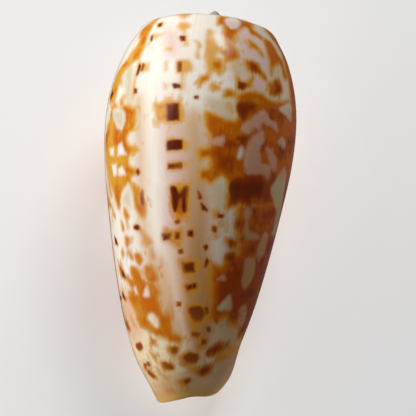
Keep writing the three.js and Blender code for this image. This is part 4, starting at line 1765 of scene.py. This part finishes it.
@dataclass
class Shell:
    """The shell as a Blender object: its surface laid to rest, its coordinates for the pattern, its finish."""

    surface: ShellMesh = field(default_factory=ShellMesh)
    painter: Painter = field(default_factory=Painter)
    name: str = "cone_shell_dressed"
    body: str = "root"
    node: str = "shell"
    slot: str = "shell"
    grain_radius: float = 12.0
    washes_fade: dict[Tint, Range] = field(default_factory=lambda: {
        Tint.PINK: (-1.2, 2.0),
        Tint.TAN: (-1.2, 2.0),
        Tint.GREEN: (-1.0, 0.8),
        Tint.ROSE: (-1.0, 1.2),
    })

    def __post_init__(self) -> None:
        """Works out the welded surface and where it lies."""
        self.raw, self.growth, self.zones, self.faces = self.surface.build().weld()
        self.turn = self.surface.rest.turn()
        laid = self.raw @ self.turn.T
        low, high = laid.min(0), laid.max(0)
        wear = self.surface.rest.wear
        self.shift = -np.array([(low[0] + high[0]) / 2.0, (low[1] + high[1]) / 2.0, low[2] + wear])
        laid = laid + self.shift
        laid[:, 2] = np.maximum(laid[:, 2], 0.0)
        self.points = laid

    def paint(self, mesh: bpy.types.Mesh) -> None:
        """Writes the pattern's fields on the mesh's points.

        stain holds the distances to the orange, dark and tent markings, wash the distance to the gold ones and
        the shares of pink and tan, shade the shares of green, inside and rose. grain is the direction of growth
        as a point on a cylinder, with the distance along the section. age holds the shell's size at the growth
        angle and the distance to the anterior end.

        Args:
            mesh: The shell's mesh.
        """
        flat = self.painter.unrolled(self.growth[:, :2])
        gap = {tint: self.painter.distances(flat, tint) for tint in Tint}
        soft = {tint: 1.0 - smoothstep(gap[tint], *fade) for tint, fade in self.washes_fade.items()}
        turn = np.radians(self.growth[:, 0])
        end_gap = self.painter.arcs[-1] - flat[:, 1]
        fields = {
            "stain": (gap[Tint.ORANGE], gap[Tint.DARK], gap[Tint.TENT]),
            "wash": (gap[Tint.GOLD], soft[Tint.PINK], soft[Tint.TAN]),
            "shade": (soft[Tint.GREEN], self.growth[:, 2], soft[Tint.ROSE]),
            "grain": (self.grain_radius * np.sin(turn), self.grain_radius * np.cos(turn), flat[:, 1]),
            "age": (self.surface.growth.size_at(self.growth[:, 0]), end_gap, 0.0 * turn),
        }
        for name, values in fields.items():
            layer = mesh.attributes.new(name, "FLOAT_VECTOR", "POINT")
            layer.data.foreach_set("vector", np.stack(values, -1).astype(np.float32).ravel())

    def make(self) -> bpy.types.Object:
        """Builds the mesh object in the place of the CAD node.

        Returns:
            The object.
        """
        mesh = bpy.data.meshes.new(self.name)
        faces = [corners for block in self.faces for corners in block.tolist()]
        mesh.from_pydata((self.points * MM).tolist(), [], faces)
        mesh.update()
        mesh.polygons.foreach_set("use_smooth", np.ones(len(mesh.polygons), bool))
        self.paint(mesh)
        mesh.materials.append(Porcelain().make())
        piece = bpy.data.objects.new(self.name, mesh)
        bpy.context.scene.collection.objects.link(piece)
        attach(piece, self.body)
        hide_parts(self.node)
        return piece


@dataclass(frozen=True)
class Lamp:
    """A soft area light: where it stands over the shell, its size and its power."""

    name: str
    place: tuple[float, float, float]
    size: tuple[float, float]
    power: float
    shadow_on: bool = True

    def make(self, floor: bpy.types.Object) -> bpy.types.Object:
        """Creates the light, aimed at the middle of the shell.

        Args:
            floor: The floor, which alone casts this light's shadows when shadow_on is false.

        Returns:
            The light.
        """
        data = bpy.data.lights.new(self.name, "AREA")
        data.shape = "RECTANGLE"
        data.size, data.size_y = self.size
        data.energy = self.power
        lamp = bpy.data.objects.new(self.name, data)
        bpy.context.scene.collection.objects.link(lamp)
        place = Matrix.Translation(self.place)
        lamp.matrix_world = place @ (-place.translation).to_track_quat("-Z", "Y").to_matrix().to_4x4()
        if not self.shadow_on:
            casters = bpy.data.collections.new(f"{self.name}_casters")
            casters.objects.link(floor)
            lamp.light_linking.blocker_collection = casters
        return lamp


@dataclass(frozen=True)
class Studio:
    """A plain pale floor with soft lights round it."""

    floor_size: float = 3.0
    floor_colour: tuple[float, float, float, float] = (0.84, 0.84, 0.84, 1.0)
    floor_roughness: float = 0.8
    lamps: tuple[Lamp, ...] = (
        Lamp("key", (-0.45, 0.12, 0.36), (0.60, 0.40), 4.0, shadow_on=False),
        Lamp("top", (0.16, 0.45, 0.36), (0.25, 0.15), 1.25),
    )
    sky: tuple[float, float, float, float] = (1.0, 1.0, 1.0, 1.0)
    sky_strength: float = 0.10

    def make(self) -> None:
        """Creates the floor, the lights and the sky."""
        half = self.floor_size / 2.0
        mesh = bpy.data.meshes.new("floor")
        corners = [(-half, -half, 0.0), (half, -half, 0.0), (half, half, 0.0), (-half, half, 0.0)]
        mesh.from_pydata(corners, [], [(0, 1, 2, 3)])
        floor = bpy.data.objects.new("floor", mesh)
        bpy.context.scene.collection.objects.link(floor)
        paper = bpy.data.materials.new("floor_paper")
        paper.use_nodes = True
        shader = paper.node_tree.nodes["Principled BSDF"]
        shader.inputs["Base Color"].default_value = self.floor_colour
        shader.inputs["Roughness"].default_value = self.floor_roughness
        mesh.materials.append(paper)
        floor.visible_glossy = False
        for lamp in self.lamps:
            lamp.make(floor)
        world = bpy.data.worlds.new("studio")
        world.use_nodes = True
        background = world.node_tree.nodes["Background"]
        background.inputs["Color"].default_value = self.sky
        background.inputs["Strength"].default_value = self.sky_strength
        bpy.context.scene.world = world
        bpy.context.scene.view_settings.view_transform = "Standard"


def main() -> None:
    """Builds the camera, the shell and the studio."""
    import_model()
    shell = Shell()
    PhotoCamera().make(shell.turn, shell.shift)
    piece = shell.make()
    LOG.info("%s: %d points, %d faces", piece.name, len(piece.data.vertices), len(piece.data.polygons))
    Studio().make()


if __name__ == "__main__":
    logging.basicConfig(level=logging.INFO)
    main()
